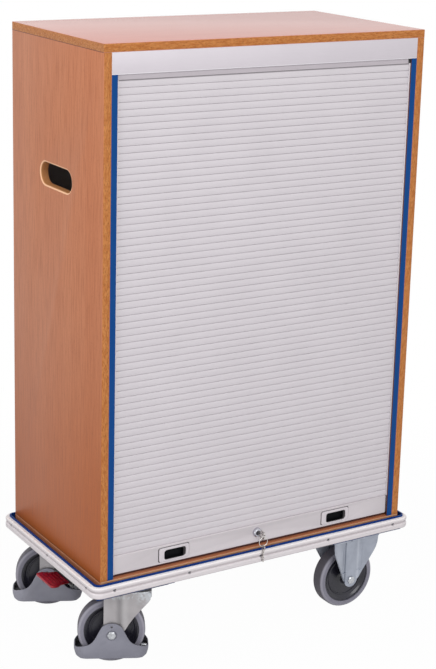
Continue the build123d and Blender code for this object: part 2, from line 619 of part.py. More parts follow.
def foot_guard():
    """Plastic skirt round the wheel, bell-shaped on both sides up to the axle."""
    hx, hy = GUARD_HALF
    height = GUARD_TOP - GUARD_FOOT
    right = [(share * hx, GUARD_FOOT + up * height) for share, up in GUARD_BELL]
    left = [(-x, z) for x, z in reversed(right)]
    top = Spline(*(left + [(0, GUARD_TOP)] + right))
    sweep = GUARD_SWEEP
    end = [right[-1], (hx, GUARD_FOOT + 0.93 * sweep), (hx - sweep / 3, GUARD_FOOT + 0.27 * sweep),
           (hx - sweep, GUARD_FOOT)]
    foot = Polyline(*end, *[(-x, z) for x, z in reversed(end)])
    bell = side_plate(make_face(top + foot), -hy, hy)
    guard = bell & slab(hx, hy, GUARD_R, 0, 2 * GUARD_TOP)
    wall = GUARD_WALL
    guard -= slab(hx - wall, hy - wall, GUARD_R - wall, -1, 2 * GUARD_TOP)
    web, reach = GUARD_WEB
    inside = bell & slab(hx - wall / 2, hy - wall / 2, GUARD_R - wall / 2, 0, GUARD_FOOT + web)
    guard += inside - box(reach - hx, hx - reach, -hy, hy, 0, GUARD_TOP)
    for side in (-1, 1):
        y0, y1 = sorted((side * LEG_OUT, side * (hy - 0.5)))
        guard += rod(GUARD_BOSS_R, 0, y0, y1, WHEEL_R)
    guard -= rod(AXLE_R + FIT, 0, -2 * hy, 2 * hy, WHEEL_R)
    radius, depth = GUARD_SEAT
    guard -= rod(radius, 0, -2 * hy, depth - hy, WHEEL_R) + rod(radius, 0, hy - depth, 2 * hy, WHEEL_R)
    radius, up = GUARD_HOLE
    guard -= rod(radius, 0, -2 * hy, 2 * hy, WHEEL_R + up)
    return Pos(-TRAIL, 0, 0) * guard


def fixed_bracket():
    hx, hy = FIXED_PLATE_HALF
    bracket = slab(hx, hy, PLATE_R, PLATE_Z, CASTOR_H)
    lower = Pos(0, WHEEL_R) * Circle(LEG_HALF_W)
    rise = PLATE_Z + STEEL / 2 - WHEEL_R
    web = lower + Pos(0, WHEEL_R + rise / 2) * Rectangle(2 * LEG_HALF_W, rise)
    flare = degrees(atan2(FLARE_OUT, FLARE_REACH))
    length = sqrt(FLARE_REACH ** 2 + FLARE_OUT ** 2)
    edge = [(share * length, WHEEL_R + up * (PLATE_Z - WHEEL_R)) for share, up in FLARE_EDGE]
    top = PLATE_Z + STEEL / 4
    wing = make_face(Polyline(*edge, (length, top), (0, top), close=True))
    for side in (-1, 1):
        y0, y1 = sorted((side * LEG_IN, side * LEG_OUT))
        bracket += side_plate(web, y0, y1)
        w0, w1 = sorted((0, -side * LEG_T))
        panel = Rot(0, 0, side * flare) * side_plate(wing, w0, w1)
        panel = Pos(LEG_HALF_W - 0.6, side * LEG_OUT, 0) * panel
        bracket += panel
        bracket += mirror(panel, Plane.YZ)
        bracket -= fold_flute(LEG_HALF_W, side) + fold_flute(-LEG_HALF_W, side)
    bracket -= rod(AXLE_R + FIT, 0, -2 * LEG_OUT, 2 * LEG_OUT, WHEEL_R)
    for dx in (-1, 1):
        for dy in (-1, 1):
            place = Pos(dx * FIXED_BOLT[0], dy * FIXED_BOLT[1], PLATE_Z)
            bracket -= place * Cylinder(BOLT_R + FIT, 4 * STEEL)
    return bracket


def castor_bolts():
    bolts = []
    for x, y in castor_bolt_places():
        bolt = Pos(0, 0, -BOLT_HEAD_H) * extrude(RegularPolygon(BOLT_HEAD_R, 6), BOLT_HEAD_H)
        bolt += Cylinder(BOLT_R, 2 * STEEL - 4 * FIT, align=(Align.CENTER, Align.CENTER, Align.MIN))
        bolts.append(Pos(x, y, PLATE_Z) * bolt)
    return Compound(bolts)


# Central brake: pedal, cross shaft, and a plunger through each swivel pin
LINK_DX = SHAFT_X - PEDAL_AXIS[0]
LINK_DZ = SHAFT_Z - PEDAL_AXIS[1]
LINK_L = sqrt(LINK_DX ** 2 + LINK_DZ ** 2)
LINK_TILT = degrees(atan2(LINK_DZ, LINK_DX))
PEDAL_ARM = ARM_SHARE * LINK_L
PEDAL_FOOT = PEDAL_HUB_R - PEDAL_SET_IN - PEDAL_T    # underside of the pad from the pedal's axis


def pedal_lever():
    hub = rod(PEDAL_HUB_R, 0, -PEDAL_HUB_HALF, PEDAL_HUB_HALF, 0)
    end, side, thick = TONGUE
    half = PEDAL_NECK_HALF - side
    tongue = box(end - PEDAL_REACH, 0, -half, half, PEDAL_FOOT - thick, PEDAL_FOOT)
    lever = hub + Rot(0, -PEDAL_SLOPE, 0) * tongue
    thick, half_h = LINK_PLATE
    inner = SHAFT_LEVER[0] + LINK_GAP
    outer = inner + thick
    arm = rod(LINK_PIN_R, PEDAL_ARM, -outer, outer, 0)
    for y0 in (-outer, inner):
        arm += box(0, PEDAL_ARM + half_h, y0, y0 + thick, -half_h, half_h)
    lever += Rot(0, -LINK_TILT, 0) * arm
    lever -= rod(PEDAL_PIN_R + RUN, 0, -2 * PEDAL_HUB_HALF, 2 * PEDAL_HUB_HALF, 0)
    return Pos(PEDAL_AXIS[0], 0, PEDAL_AXIS[1]) * lever


def brake_pedal():
    inner, top = -PEDAL_HUB_R - PEDAL_PLAY, PEDAL_FOOT + PEDAL_T
    edge = [(-PEDAL_REACH, PEDAL_HALF_W)]
    edge += [(x - PEDAL_REACH, PEDAL_HALF_W - y) for x, y in PEDAL_NECK]
    edge += [(inner, PEDAL_NECK_HALF)]
    outline = Polyline(*edge, *[(x, -y) for x, y in reversed(edge)], close=True)
    pad = Pos(0, 0, PEDAL_FOOT) * extrude(make_face(outline), PEDAL_T)
    for i, radius in enumerate((PEDAL_CORNER_R, PEDAL_NECK_R, PEDAL_NECK_R)):
        x = edge[i][0]
        corners = [e for e in pad.edges().filter_by(Axis.Z) if abs(e.center().X - x) < 0.01]
        pad = fillet(corners, radius)
    pad = fillet(pad.edges().group_by(Axis.Z)[-1], PEDAL_EDGE_R)
    pitch, width, depth = PEDAL_RIB
    for i in range(PEDAL_RIBS):
        x0 = PEDAL_RIB_IN[0] - PEDAL_REACH + i * pitch
        half = (PEDAL_HALF_W if x0 + width < edge[1][0] else PEDAL_NECK_HALF) - PEDAL_RIB_IN[1]
        pad -= box(x0, x0 + width, -half, half, top - depth, top + 1)
    return Pos(PEDAL_AXIS[0], 0, PEDAL_AXIS[1]) * Rot(0, -PEDAL_SLOPE, 0) * pad


def pedal_bracket():
    x, z = PEDAL_AXIS
    inner = PEDAL_HUB_HALF + EAR_GAP
    outer = inner + EAR_T
    bracket = box(x - EAR_PLATE[0], x + EAR_PLATE[1], -outer, outer, CASTOR_H - EAR_T, CASTOR_H)
    stem = Rectangle(2 * PEDAL_HUB_R, CASTOR_H - z)
    ear = Pos(x, z) * Circle(PEDAL_HUB_R) + Pos(x, (z + CASTOR_H) / 2) * stem
    for y0 in (-outer, inner):
        bracket += side_plate(ear, y0, y0 + EAR_T)
    return bracket - rod(PEDAL_PIN_R + FIT, x, -2 * outer, 2 * outer, z)


def pedal_pivot_pin():
    half = PEDAL_HUB_HALF + EAR_GAP + EAR_T
    pin = rod(PEDAL_PIN_R, 0, -half, half, 0)
    for side in (-1, 1):
        y0, y1 = sorted((side * half, side * (half + PIN_HEAD[1])))
        pin += rod(PEDAL_PIN_R + PIN_HEAD[0], 0, y0, y1, 0)
    return Pos(PEDAL_AXIS[0], 0, PEDAL_AXIS[1]) * pin


def brake_shaft():
    """Cross shaft with a slotted lever in the middle and a finger over each plunger."""
    half = CASTOR_Y + SHAFT_END
    shaft = rod(SHAFT_R, 0, -half, half, 0)
    finger, width, thick = FINGER
    for y in (-CASTOR_Y, CASTOR_Y):
        shaft += box(0, finger, y - width / 2, y + width / 2, -thick / 2, thick / 2)
    reach = LINK_L - PEDAL_ARM
    slot = LINK_PIN_R + LINK_PLAY
    half, wall = SHAFT_LEVER
    lever = box(-reach - 2 * LINK_PIN_R - wall, 0, -half, half, -slot - wall, slot + wall)
    lever -= box(-reach - 2 * LINK_PIN_R, SLOT_RUN - reach, -2 * half, 2 * half, -slot, slot)
    shaft += Rot(0, -LINK_TILT, 0) * lever
    return Pos(SHAFT_X, 0, SHAFT_Z) * shaft


def shaft_clips():
    clips = []
    for y in (-CLIP_Y, CLIP_Y):
        hx, hy = CLIP_HALF
        clip = box(SHAFT_X - hx, SHAFT_X + hx, y - hy, y + hy, SHAFT_Z - hy, CASTOR_H)
        clips.append(clip - rod(SHAFT_R + RUN, SHAFT_X, y - 2 * hy, y + 2 * hy, SHAFT_Z))
    return Compound(clips)


def brake_plunger():
    top = SHAFT_Z - FINGER[2] / 2 - PIN_GAP
    foot = WHEEL_R + sqrt(WHEEL_R ** 2 - (TRAIL - PLUNGER_FOOT_R) ** 2) + PLUNGER_LIFT
    neck = foot + PLUNGER_FOOT_T
    return turned([(0, foot), (PLUNGER_FOOT_R - 1, foot), (PLUNGER_FOOT_R, foot + 1),
                   (PLUNGER_FOOT_R, neck), (PLUNGER_R, neck), (PLUNGER_R, top), (0, top)])


def collect():
    right_side, right_strip = right_side_panel(), trim_strip()
    pieces = {
        "base_frame": base_frame(),
        "deck_board": deck_board(),
        "bumper_strip": bumper_strip(),
        "bumper_screws": bumper_screws(),
        "bottom_panel": bottom_panel(),
        "left_side_panel": mirror(right_side, Plane.YZ),
        "right_side_panel": right_side,
        "top_panel": top_panel(),
        "back_panel": box(-INNER_X, INNER_X, HALF_D - THIN_BOARD, HALF_D, Z_SIDE, Z_TOP),
        "inner_back_panel": box(-INNER_X, INNER_X, LINING_FRONT, LINING_BACK, Z_SIDE, Z_PELMET),
        "inner_top_panel": box(-INNER_X, INNER_X, SHELF_FRONT - 4, LINING_BACK,
                               Z_PELMET, Z_PELMET + THIN_BOARD),
        "lower_shelf": shelf(SHELF_Z[0]),
        "upper_shelf": shelf(SHELF_Z[1]),
        "shelf_pins": shelf_pins(),
        "pelmet": box(-INNER_X, INNER_X, FRONT, FRONT + FACE_STRIP_T, Z_PELMET, Z_TOP),
        "left_trim_strip": mirror(right_strip, Plane.YZ),
        "right_trim_strip": right_strip,
        "shutter_slats": shutter_slats(),
        "shutter_bar": shutter_bar(),
        "left_finger_pull": finger_pull(-PULL_X),
        "right_finger_pull": finger_pull(PULL_X),
        "lock_barrel": lock_barrel(),
        "lock_plug": lock_plug(),
        "lock_key": lock_key(),
        "key_ring": key_ring(),
        "spare_key": spare_key(),
        "castor_bolts": castor_bolts(),
        "pedal_lever": pedal_lever(),
        "brake_pedal": brake_pedal(),
        "pedal_bracket": pedal_bracket(),
        "pedal_pivot_pin": pedal_pivot_pin(),
        "brake_shaft": brake_shaft(),
        "shaft_clips": shaft_clips(),
    }
    for name, y in (("front", -CASTOR_Y), ("rear", CASTOR_Y)):
        seat = Pos(SWIVEL_X, y, 0)
        turned_seat = seat * Rot(0, 0, SWIVEL_TURN)
        wheel_seat = turned_seat * Pos(-TRAIL, 0, WHEEL_R)
        pieces[f"{name}_swivel_plate"] = seat * swivel_plate(1 if y < 0 else -1)
        pieces[f"{name}_king_pin"] = seat * king_pin()
        pieces[f"{name}_brake_plunger"] = seat * brake_plunger()
        pieces[f"{name}_swivel_fork"] = turned_seat * swivel_fork()
        pieces[f"{name}_foot_guard"] = turned_seat * foot_guard()
        pieces[f"{name}_swivel_axle"] = wheel_seat * axle(GUARD_HALF[1] - GUARD_SEAT[1])
        pieces[f"{name}_swivel_wheel_centre"] = wheel_seat * wheel_centre()
        pieces[f"{name}_swivel_tyre"] = wheel_seat * tyre()
        seat = Pos(FIXED_X, y, 0)
        pieces[f"{name}_fixed_bracket"] = seat * fixed_bracket()
        pieces[f"{name}_fixed_axle"] = seat * Pos(0, 0, WHEEL_R) * axle(LEG_OUT)
        pieces[f"{name}_fixed_wheel_centre"] = seat * Pos(0, 0, WHEEL_R) * wheel_centre()
        pieces[f"{name}_fixed_tyre"] = seat * Pos(0, 0, WHEEL_R) * tyre()
    return pieces


for node, shape in collect().items():
    export_step(shape, f"parts/{node}.step")
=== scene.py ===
"""Looks of the document trolley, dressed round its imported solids. Metres, +Z up, shutter towards -Y."""
import json
from math import pi, radians

import bmesh
import bpy
from mathutils import Matrix, Vector


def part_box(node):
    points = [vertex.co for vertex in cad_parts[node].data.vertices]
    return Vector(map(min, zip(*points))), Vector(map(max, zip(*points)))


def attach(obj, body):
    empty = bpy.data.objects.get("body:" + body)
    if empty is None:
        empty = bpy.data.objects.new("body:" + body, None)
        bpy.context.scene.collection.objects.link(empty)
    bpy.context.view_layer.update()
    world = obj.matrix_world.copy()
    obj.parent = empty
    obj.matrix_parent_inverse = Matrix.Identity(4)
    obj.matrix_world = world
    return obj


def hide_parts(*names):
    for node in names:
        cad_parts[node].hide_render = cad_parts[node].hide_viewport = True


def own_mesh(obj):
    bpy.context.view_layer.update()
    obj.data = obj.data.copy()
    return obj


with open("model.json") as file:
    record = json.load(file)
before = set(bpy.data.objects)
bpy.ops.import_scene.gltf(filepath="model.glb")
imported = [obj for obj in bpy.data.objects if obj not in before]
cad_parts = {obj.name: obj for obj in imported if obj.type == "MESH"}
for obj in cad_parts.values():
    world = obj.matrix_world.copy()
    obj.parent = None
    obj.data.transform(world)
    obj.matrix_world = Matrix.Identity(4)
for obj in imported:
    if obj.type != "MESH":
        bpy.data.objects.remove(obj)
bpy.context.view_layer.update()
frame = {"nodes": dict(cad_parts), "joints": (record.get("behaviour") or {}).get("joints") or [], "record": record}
nodes = frame["nodes"]


# Base frame: a welded ring of angle steel with plates across both ends for the castors.
# It is powder coated dark blue, a slightly pebbled coat that is rubbed paler along the rim.
class Field:
    """One output in a finish's node tree. Arithmetic on fields adds Math nodes."""

    def __init__(self, output):
        self.output = output

    def node(self, kind, settings, sockets, out=0):
        """Adds a node, sets it up, then gives its sockets numbers, colours or other fields."""
        tree = self.output.id_data
        made = tree.nodes.new("ShaderNode" + kind)
        for name, value in settings.items():
            setattr(made, name, value)
        for name, value in sockets.items():
            if isinstance(value, Field):
                tree.links.new(value.output, made.inputs[name])
            else:
                made.inputs[name].default_value = value
        return Field(made.outputs[out])

    def maths(self, operation, first, second):
        return self.node("Math", {"operation": operation}, {0: first, 1: second})

    def __add__(self, other):
        return self.maths("ADD", self, other)

    __radd__ = __add__

    def __sub__(self, other):
        return self.maths("SUBTRACT", self, other)

    def __rsub__(self, other):
        return self.maths("SUBTRACT", other, self)

    def __mul__(self, other):
        return self.maths("MULTIPLY", self, other)

    __rmul__ = __mul__

    def __abs__(self):
        return self.maths("ABSOLUTE", self, 0.0)

    def rise(self, start, end):
        """0 below start, 1 above end, smooth between; falls if start is above end."""
        low, high, first, last = (start, end, 0.0, 1.0) if start < end else (end, start, 1.0, 0.0)
        return self.node("MapRange", {"interpolation_type": "SMOOTHSTEP"},
                         {"Value": self, "From Min": low, "From Max": high,
                          "To Min": first, "To Max": last})

    def colours(self, low, high):
        """Colour from low to high as this field goes from 0 to 1."""
        return self.node("Mix", {"data_type": "RGBA"}, {0: self, 6: low, 7: high}, out=2)

    def stretched(self, along):
        """Coordinates scaled along each axis, to draw a pattern out."""
        return self.node("Mapping", {}, {"Vector": self, "Scale": along})

    def noise(self, scale, detail=3.0, roughness=0.55):
        return self.node("TexNoise", {}, {"Vector": self, "Scale": scale, "Detail": detail,
                                          "Roughness": roughness})

    def vectors(self, operation, other):
        return self.node("VectorMath", {"operation": operation}, {0: self, 1: other})

    def length(self):
        return self.node("VectorMath", {"operation": "LENGTH"}, {0: self}, out=1)

    def from_core(self, core, plane):
        """Distance, in a plane through the origin, from a box of this half size."""
        past = self.vectors("ABSOLUTE", (0.0, 0.0, 0.0)).vectors("SUBTRACT", core)
        return past.vectors("MAXIMUM", (0.0, 0.0, 0.0)).vectors("MULTIPLY", plane).length()

    def axis(self, letter):
        return self.node("SeparateXYZ", {}, {0: self}, out="XYZ".index(letter))


def new_finish(name):
    """A material and the object coordinates that its patterns are drawn in."""
    material = bpy.data.materials.new(name)
    material.use_nodes = True
    return material, Field(material.node_tree.nodes.new("ShaderNodeTexCoord").outputs["Object"])


def dress(material, sockets, relief=None, depth=0.0001):
    """Feeds the finish's shader, with a relief whose full height is depth."""
    tree = material.node_tree
    shader = tree.nodes["Principled BSDF"]
    if relief:
        sockets = {**sockets, "Normal": relief.node("Bump", {}, {"Distance": depth, "Height": relief})}
    for name, value in sockets.items():
        if isinstance(value, Field):
            tree.links.new(value.output, shader.inputs[name])
        else:
            shader.inputs[name].default_value = value
    return material


def coat(material, *names):
    """Gives solids of the frame this finish."""
    for name in names:
        for slot in nodes[name].material_slots:
            slot.material = material


def colour(red, green, blue):
    """A screen colour, 0 to 255, as the shader takes it."""
    levels = [value / 255 for value in (red, green, blue)]
    return [v / 12.92 if v < 0.04045 else ((v + 0.055) / 1.055) ** 2.4 for v in levels] + [1.0]


RUBBED_H = 0.0025             # paint rubbed down from the rim

frame_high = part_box("base_frame")[1]
rim_z = frame_high.z

powder_blue, place = new_finish("powder_blue")
pebble = place.noise(700.0)
cloud = place.noise(9.0)
rub = place.axis("Z").rise(rim_z - RUBBED_H, rim_z) * place.noise(60.0).rise(0.5, 0.75)
paint = cloud.colours(colour(0, 44, 112), colour(0, 56, 128))
dress(powder_blue, {"Base Color": (0.5 * rub).colours(paint, colour(48, 84, 156)),
                    "Roughness": 0.36 + 0.14 * pebble, "Specular IOR Level": 0.1}, pebble, 0.00006)
coat(powder_blue, "base_frame")


# Bumper: a soft off-white plastic profile, pushed round the frame and screwed on in its groove.
# Two round lobes stand out above and below the narrow groove, which is coloured darker; the lobes are scuffed.
# The top of the profile is painted paler as a highlight, and its foot is painted darker as shade.
GROOVE_UP = 0.58              # share of the profile's height
CREST_HIGHLIGHT_H, FOOT_SHADE_H = 0.0035, 0.004

bumper_low, bumper_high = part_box("bumper_strip")
groove_z = bumper_low.z + GROOVE_UP * (bumper_high.z - bumper_low.z)

bumper_white, place = new_finish("bumper_white")
up = place.axis("Z")
groove = abs(up - groove_z).rise(0.0026, 0.0014)
# Painted highlight along the top of the profile, and painted shade along its foot.
crest_highlight = up.rise(bumper_high.z - CREST_HIGHLIGHT_H, bumper_high.z - 0.0005)
foot = up.rise(bumper_low.z + FOOT_SHADE_H, bumper_low.z)
scuff = place.stretched((3.0, 3.0, 90.0)).noise(6.0, 6.0, 0.7).rise(0.56, 0.78)
speck = place.noise(420.0)
clean = place.noise(14.0).colours(colour(224, 217, 220), colour(231, 225, 228))
clean = crest_highlight.colours(clean, colour(246, 241, 241))
clean = (0.6 * foot).colours(clean, colour(180, 170, 174))
worn = (0.3 * scuff).colours(clean, colour(188, 178, 181))
dress(bumper_white, {"Base Color": (0.55 * groove).colours(worn, colour(170, 160, 164)),
                     "Roughness": 0.46 + 0.2 * scuff + 0.06 * speck,
                     "Specular IOR Level": 0.3}, speck, 0.00008)
coat(bumper_white, "bumper_strip")


# Bumper screws: zinc plated pan heads with a socket, sunk in the bumper's groove.
# Sixteen of them go through the soft profile into the frame's upright leg.
HEAD_R, HEAD_H, HEAD_SEAT = 0.0033, 0.0022, 0.004
HEAD_DOME = (0.36, 1.0), (0.4, 0.82), (0.24, 0.7)     # share of the head's height, and how it narrows
SOCKET_R, SOCKET_DEPTH, SOCKET_TAPER = 0.0014, 0.0015, 0.9
SHANK_R, SHANK_SIDES = 0.00175, 18
WALL = 0.0038
CORNER_X, CORNER_Y = 0.044, 0.037                     # last screws from the frame's corners


def bright_zinc(name, low, high, rough, cloud_size):
    """Zinc plated steel, with the clouded grey of its passivation and fine rolling lines."""
    material, place = new_finish(name)
    cloud = place.noise(cloud_size, 4.0, 0.5)
    line = place.stretched((30.0, 30.0, 900.0)).noise(2.0)
    dress(material, {"Base Color": cloud.rise(0.25, 0.75).colours(low, high), "Metallic": 0.6,
                     "Roughness": rough + 0.1 * cloud + 0.08 * line}, line, 0.00002)
    return material


def tinted(material, share, tone):
    """Mixes a tone over a finish's own colour."""
    shader = material.node_tree.nodes["Principled BSDF"]
    under = Field(shader.inputs["Base Color"].links[0].from_socket)
    return dress(material, {"Base Color": share.colours(under, tone)})


def places(material):
    """The coordinates that a finish's patterns are drawn in."""
    return Field(material.node_tree.nodes["Texture Coordinate"].outputs["Object"])


def grown_circle(mesh, radius, segments, place):
    """A flat face to grow a turned piece from, facing along the place's own Z."""
    made = bmesh.ops.create_circle(mesh, cap_ends=True, segments=segments, radius=radius, matrix=place)
    return made["verts"][0].link_faces[0]


def step(mesh, face, rise, scale=1.0):
    """Pushes a face out along its normal and scales it; gives the face at the new end."""
    axis = face.normal.copy()
    centre = face.calc_center_median()
    grown = bmesh.ops.extrude_face_region(mesh, geom=[face])["geom"]
    verts = [part for part in grown if isinstance(part, bmesh.types.BMVert)]
    end = [part for part in grown if isinstance(part, bmesh.types.BMFace)][0]
    bmesh.ops.delete(mesh, geom=[face], context="FACES_ONLY")
    if scale != 1.0:
        bmesh.ops.scale(mesh, vec=(scale,) * 3, verts=verts, space=Matrix.Translation(-centre))
    bmesh.ops.translate(mesh, vec=axis * rise, verts=verts)
    end.normal_update()
    return end


def finished(mesh, name, material, body, slot, smooth_under=35.0):
    """Closes a bmesh into a piece at the origin that rides on a body."""
    bmesh.ops.remove_doubles(mesh, verts=mesh.verts, dist=1e-6)
    bmesh.ops.recalc_face_normals(mesh, faces=mesh.faces)
    for edge in mesh.edges:
        edge.smooth = len(edge.link_faces) == 2 and edge.calc_face_angle() < radians(smooth_under)
    for face in mesh.faces:
        face.smooth = True
    data = bpy.data.meshes.new(name)
    mesh.to_mesh(data)
    mesh.free()
    data.materials.append(material)
    piece = bpy.data.objects.new(name, data)
    bpy.context.scene.collection.objects.link(piece)
    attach(piece, body)
    return piece


screw_zinc = bright_zinc("screw_zinc", colour(100, 102, 108), colour(142, 144, 150), 0.3, 300.0)
screws = bmesh.new()
half_x, half_y = frame_high.x, frame_high.y
screw_x = [i / 2 * (half_x - CORNER_X) for i in range(-2, 3)]
screw_y = [i * (half_y - CORNER_Y) for i in range(-1, 2)]
seats = [(x, -half_y, 0) for x in screw_x] + [(x, half_y, 180) for x in screw_x]
seats += [(-half_x, y, -90) for y in screw_y] + [(half_x, y, 90) for y in screw_y]
for x, y, turn in seats:
    seat = Matrix.Translation((x, y, groove_z)) @ Matrix.Rotation(radians(turn), 4, "Z")
    seat = seat @ Matrix.Translation((0, WALL, 0)) @ Matrix.Rotation(pi / 2, 4, "X")
    face = grown_circle(screws, SHANK_R, SHANK_SIDES, seat)
    face = step(screws, face, WALL + HEAD_SEAT)
    face = step(screws, face, 0.0, HEAD_R / SHANK_R)
    top_r = HEAD_R
    for share, narrowing in HEAD_DOME:
        face = step(screws, face, share * HEAD_H, narrowing)
        top_r *= narrowing
    face = step(screws, face, 0.0, SOCKET_R / top_r)
    step(screws, face, -SOCKET_DEPTH, SOCKET_TAPER)
bumper_screws = finished(screws, "bumper_socket_screws", screw_zinc, "base", "zinc")
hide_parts("bumper_screws")


# Carcass boards: chipboard coated in a beech pattern, glued up as a box on the base frame.
# The cut edges carry a warmer, coarser grained band; the hand holes are routed and rounded.
FACE_SKIN = 0.0006
BROKEN_EDGE, TOP_EDGE, LONG_EDGE = 0.0009, 0.0005, 0.05
HAND_HOLE_L, HAND_HOLE_H, HAND_HOLE_DOWN, HOLE_ROUND = 0.157, 0.0515, 0.307, 0.0042
SIDE_SHADE_H, EDGE_HIGHLIGHT_UP = 0.6, 0.0008                        # painted shade at the foot of the sides, painted highlight line above the rim

body_of = {name: body for body, names in frame["record"]["behaviour"]["bodies"].items() for name in names}
slot_of = {part["node"]: part["material_slot"] for part in frame["record"]["subparts"]}


def rounded(name, radius, material, shortest=0.0, keen=25.0, smooth_under=35.0):
    """A copy of a solid with its keen edges broken, which stands for that solid."""
    mesh = bmesh.new()
    mesh.from_mesh(nodes[name].data)
    bmesh.ops.remove_doubles(mesh, verts=mesh.verts, dist=2e-6)
    bmesh.ops.dissolve_limit(mesh, angle_limit=radians(0.3), verts=mesh.verts, edges=mesh.edges)
    edges = [edge for edge in mesh.edges if len(edge.link_faces) == 2
             and edge.calc_face_angle() > radians(keen) and edge.calc_length() > shortest]
    bmesh.ops.bevel(mesh, geom=edges, offset=radius, affect="EDGES", segments=2, profile=0.5,
                    material=-1, clamp_overlap=True)
    piece = finished(mesh, name + "_rounded", material, body_of[name], slot_of[name], smooth_under)
    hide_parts(name)


def drawn_along(grain, share):
    """Scales that draw a pattern out along the grain."""
    return [share if axis == grain else 1.0 for axis in "XYZ"]


def beech(name, grain, cut, gloss, rough, end=None, hole=None, haze=0.0, edge_highlight_z=None):
    """Beech pattern along one axis; cut is the axis through the board and the band of its cut edge."""
    material, place = new_finish(name)
    up = place.axis("Z")
    drawn = place.stretched(drawn_along(grain, 0.04))
    band = drawn.noise(16.0, 4.0, 0.6)
    streak = drawn.noise(280.0, 4.0, 0.6)
    fleck = place.stretched(drawn_along(grain, 0.2)).noise(520.0, 2.0, 0.5).rise(0.58, 0.72)
    face = band.rise(0.25, 0.75).colours(colour(195, 123, 87), colour(205, 135, 99))
    # The sides are painted darker and warmer towards their foot, as shade.
    if grain == "Z":
        side_foot_shade = up.rise(side_low.z + SIDE_SHADE_H, side_low.z)
        face = (0.85 * side_foot_shade).colours(face, colour(178, 90, 30))
    face = (0.42 * streak.rise(0.42, 0.66)).colours(face, colour(156, 90, 60))
    face = (0.3 * fleck).colours(face, colour(136, 78, 54))
    # Haze mixes a painted reflection over the face: a pale pink sheen, used on the top.
    if haze:
        face = (haze + 0.1 * band).colours(face, colour(230, 166, 162))

    axis, low, high = cut
    depth = place.axis(axis)
    inside = depth.rise(low, low + 0.0002) * depth.rise(high, high - 0.0002)
    if end:
        inside = inside * abs(place.axis("X")).rise(end - 0.001, end - 0.002)
    cross = place.stretched(drawn_along(grain, 0.25))
    pore = cross.noise(560.0, 3.0, 0.6)
    tone = cross.noise(240.0, 3.0, 0.6).rise(0.3, 0.7)
    edge = tone.colours(colour(180, 108, 54), colour(204, 136, 78))
    edge = (0.7 * pore.rise(0.5, 0.66)).colours(edge, colour(140, 84, 42))
    ends = abs(place.axis("X")).rise(side_low.x, side_low.x + 0.001) \
        * place.axis("Y").rise(side_low.y + 0.001, side_low.y + 0.002)
    if edge_highlight_z:
        # On the bottom board's edge, low_edge carries a pale line painted as a highlight; shaded is painted shade,
        # darkest towards the edge's top.
        low_edge = tone.colours(colour(172, 124, 84), colour(194, 146, 104))
        crest_highlight = abs(up - edge_highlight_z).rise(0.002, 0.0004)
        low_edge = (0.7 * crest_highlight).colours(low_edge, colour(228, 182, 152))
        shaded = tone.colours(colour(144, 92, 58), colour(170, 114, 74))
        shaded = (0.7 * up.rise(high - 0.004, high - 0.001)).colours(shaded, colour(84, 46, 36))
        edge = ends.colours(low_edge, shaded)

    foot_joint = abs(up - side_low.z).rise(0.0013, 0.0005)
    head_joint = abs(up - side_high.z).rise(0.0011, 0.0004)
    joint = ends * (foot_joint + head_joint)
    board = (0.75 * joint).colours(inside.colours(face, edge), colour(88, 48, 34))
    # A pale line painted along the arris below the joint, as a highlight.
    arris_highlight = ends * abs(up - side_low.z + 0.003).rise(0.0016, 0.0005)
    board = (0.5 * arris_highlight).colours(board, colour(230, 172, 130))
    if hole:
        half_l, middle_z, half_h = hole
        reach = place.vectors("SUBTRACT", (0.0, 0.0, middle_z))
        reach = reach.from_core((0.0, half_l - half_h, 0.0), (0.0, 1.0, 1.0))
        near = reach.rise(half_h + HOLE_ROUND, half_h + 0.8 * HOLE_ROUND)
        outside = max(-low, high)
        rim = near * abs(depth).rise(outside - 0.0016, outside - 0.0008)
        wall = (0.7 * near).colours(board, colour(196, 140, 94))
        board = rim.colours(wall, colour(250, 200, 160))
    dress(material, {"Base Color": board, "Specular IOR Level": gloss,
                     "Roughness": rough + 0.1 * streak + 0.06 * inside}, streak + pore, 0.00003)
    return material


side_low, side_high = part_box("right_side_panel")
hand_hole = HAND_HOLE_L / 2, side_high.z - HAND_HOLE_DOWN, HAND_HOLE_H / 2
for side in ("left", "right"):
    low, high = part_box(side + "_side_panel")
    side_cut = "X", low.x + FACE_SKIN, high.x - FACE_SKIN
    side_beech = beech("beech_" + side + "_side", "Z", side_cut, 0.2, 0.38, hole=hand_hole)
    rounded(side + "_side_panel", BROKEN_EDGE, side_beech, shortest=LONG_EDGE)
low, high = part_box("top_panel")
top_cut = "Z", low.z + FACE_SKIN, high.z - FACE_SKIN
# The top's haze is a painted reflection of the bright surround.
top_beech = beech("beech_top", "X", top_cut, 0.14, 0.16, haze=0.58)
rounded("top_panel", TOP_EDGE, top_beech, shortest=LONG_EDGE)
low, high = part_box("bottom_panel")
bottom_cut = "Z", low.z + FACE_SKIN, high.z - FACE_SKIN
bottom_beech = beech("beech_bottom", "X", bottom_cut, 0.2, 0.38, end=high.x, edge_highlight_z=rim_z + EDGE_HIGHLIGHT_UP)
rounded("bottom_panel", BROKEN_EDGE, bottom_beech, shortest=LONG_EDGE)


# Deck, back, lining and shelves: the deck is brown faced plywood that lies in the base frame.
# Back, lining and the two shelves are board coated light grey; the shelves lie on zinc plated pins.
def coated_board(name, low, high, rough):
    """Melamine coating with a fine print and a faint pebble."""
    material, place = new_finish(name)
    fine = place.noise(650.0)
    broad = place.noise(7.0, 4.0)
    dress(material, {"Base Color": (0.35 * broad + 0.65 * fine).rise(0.25, 0.75).colours(low, high),
                     "Roughness": rough + 0.1 * fine}, fine, 0.00004)
    return material


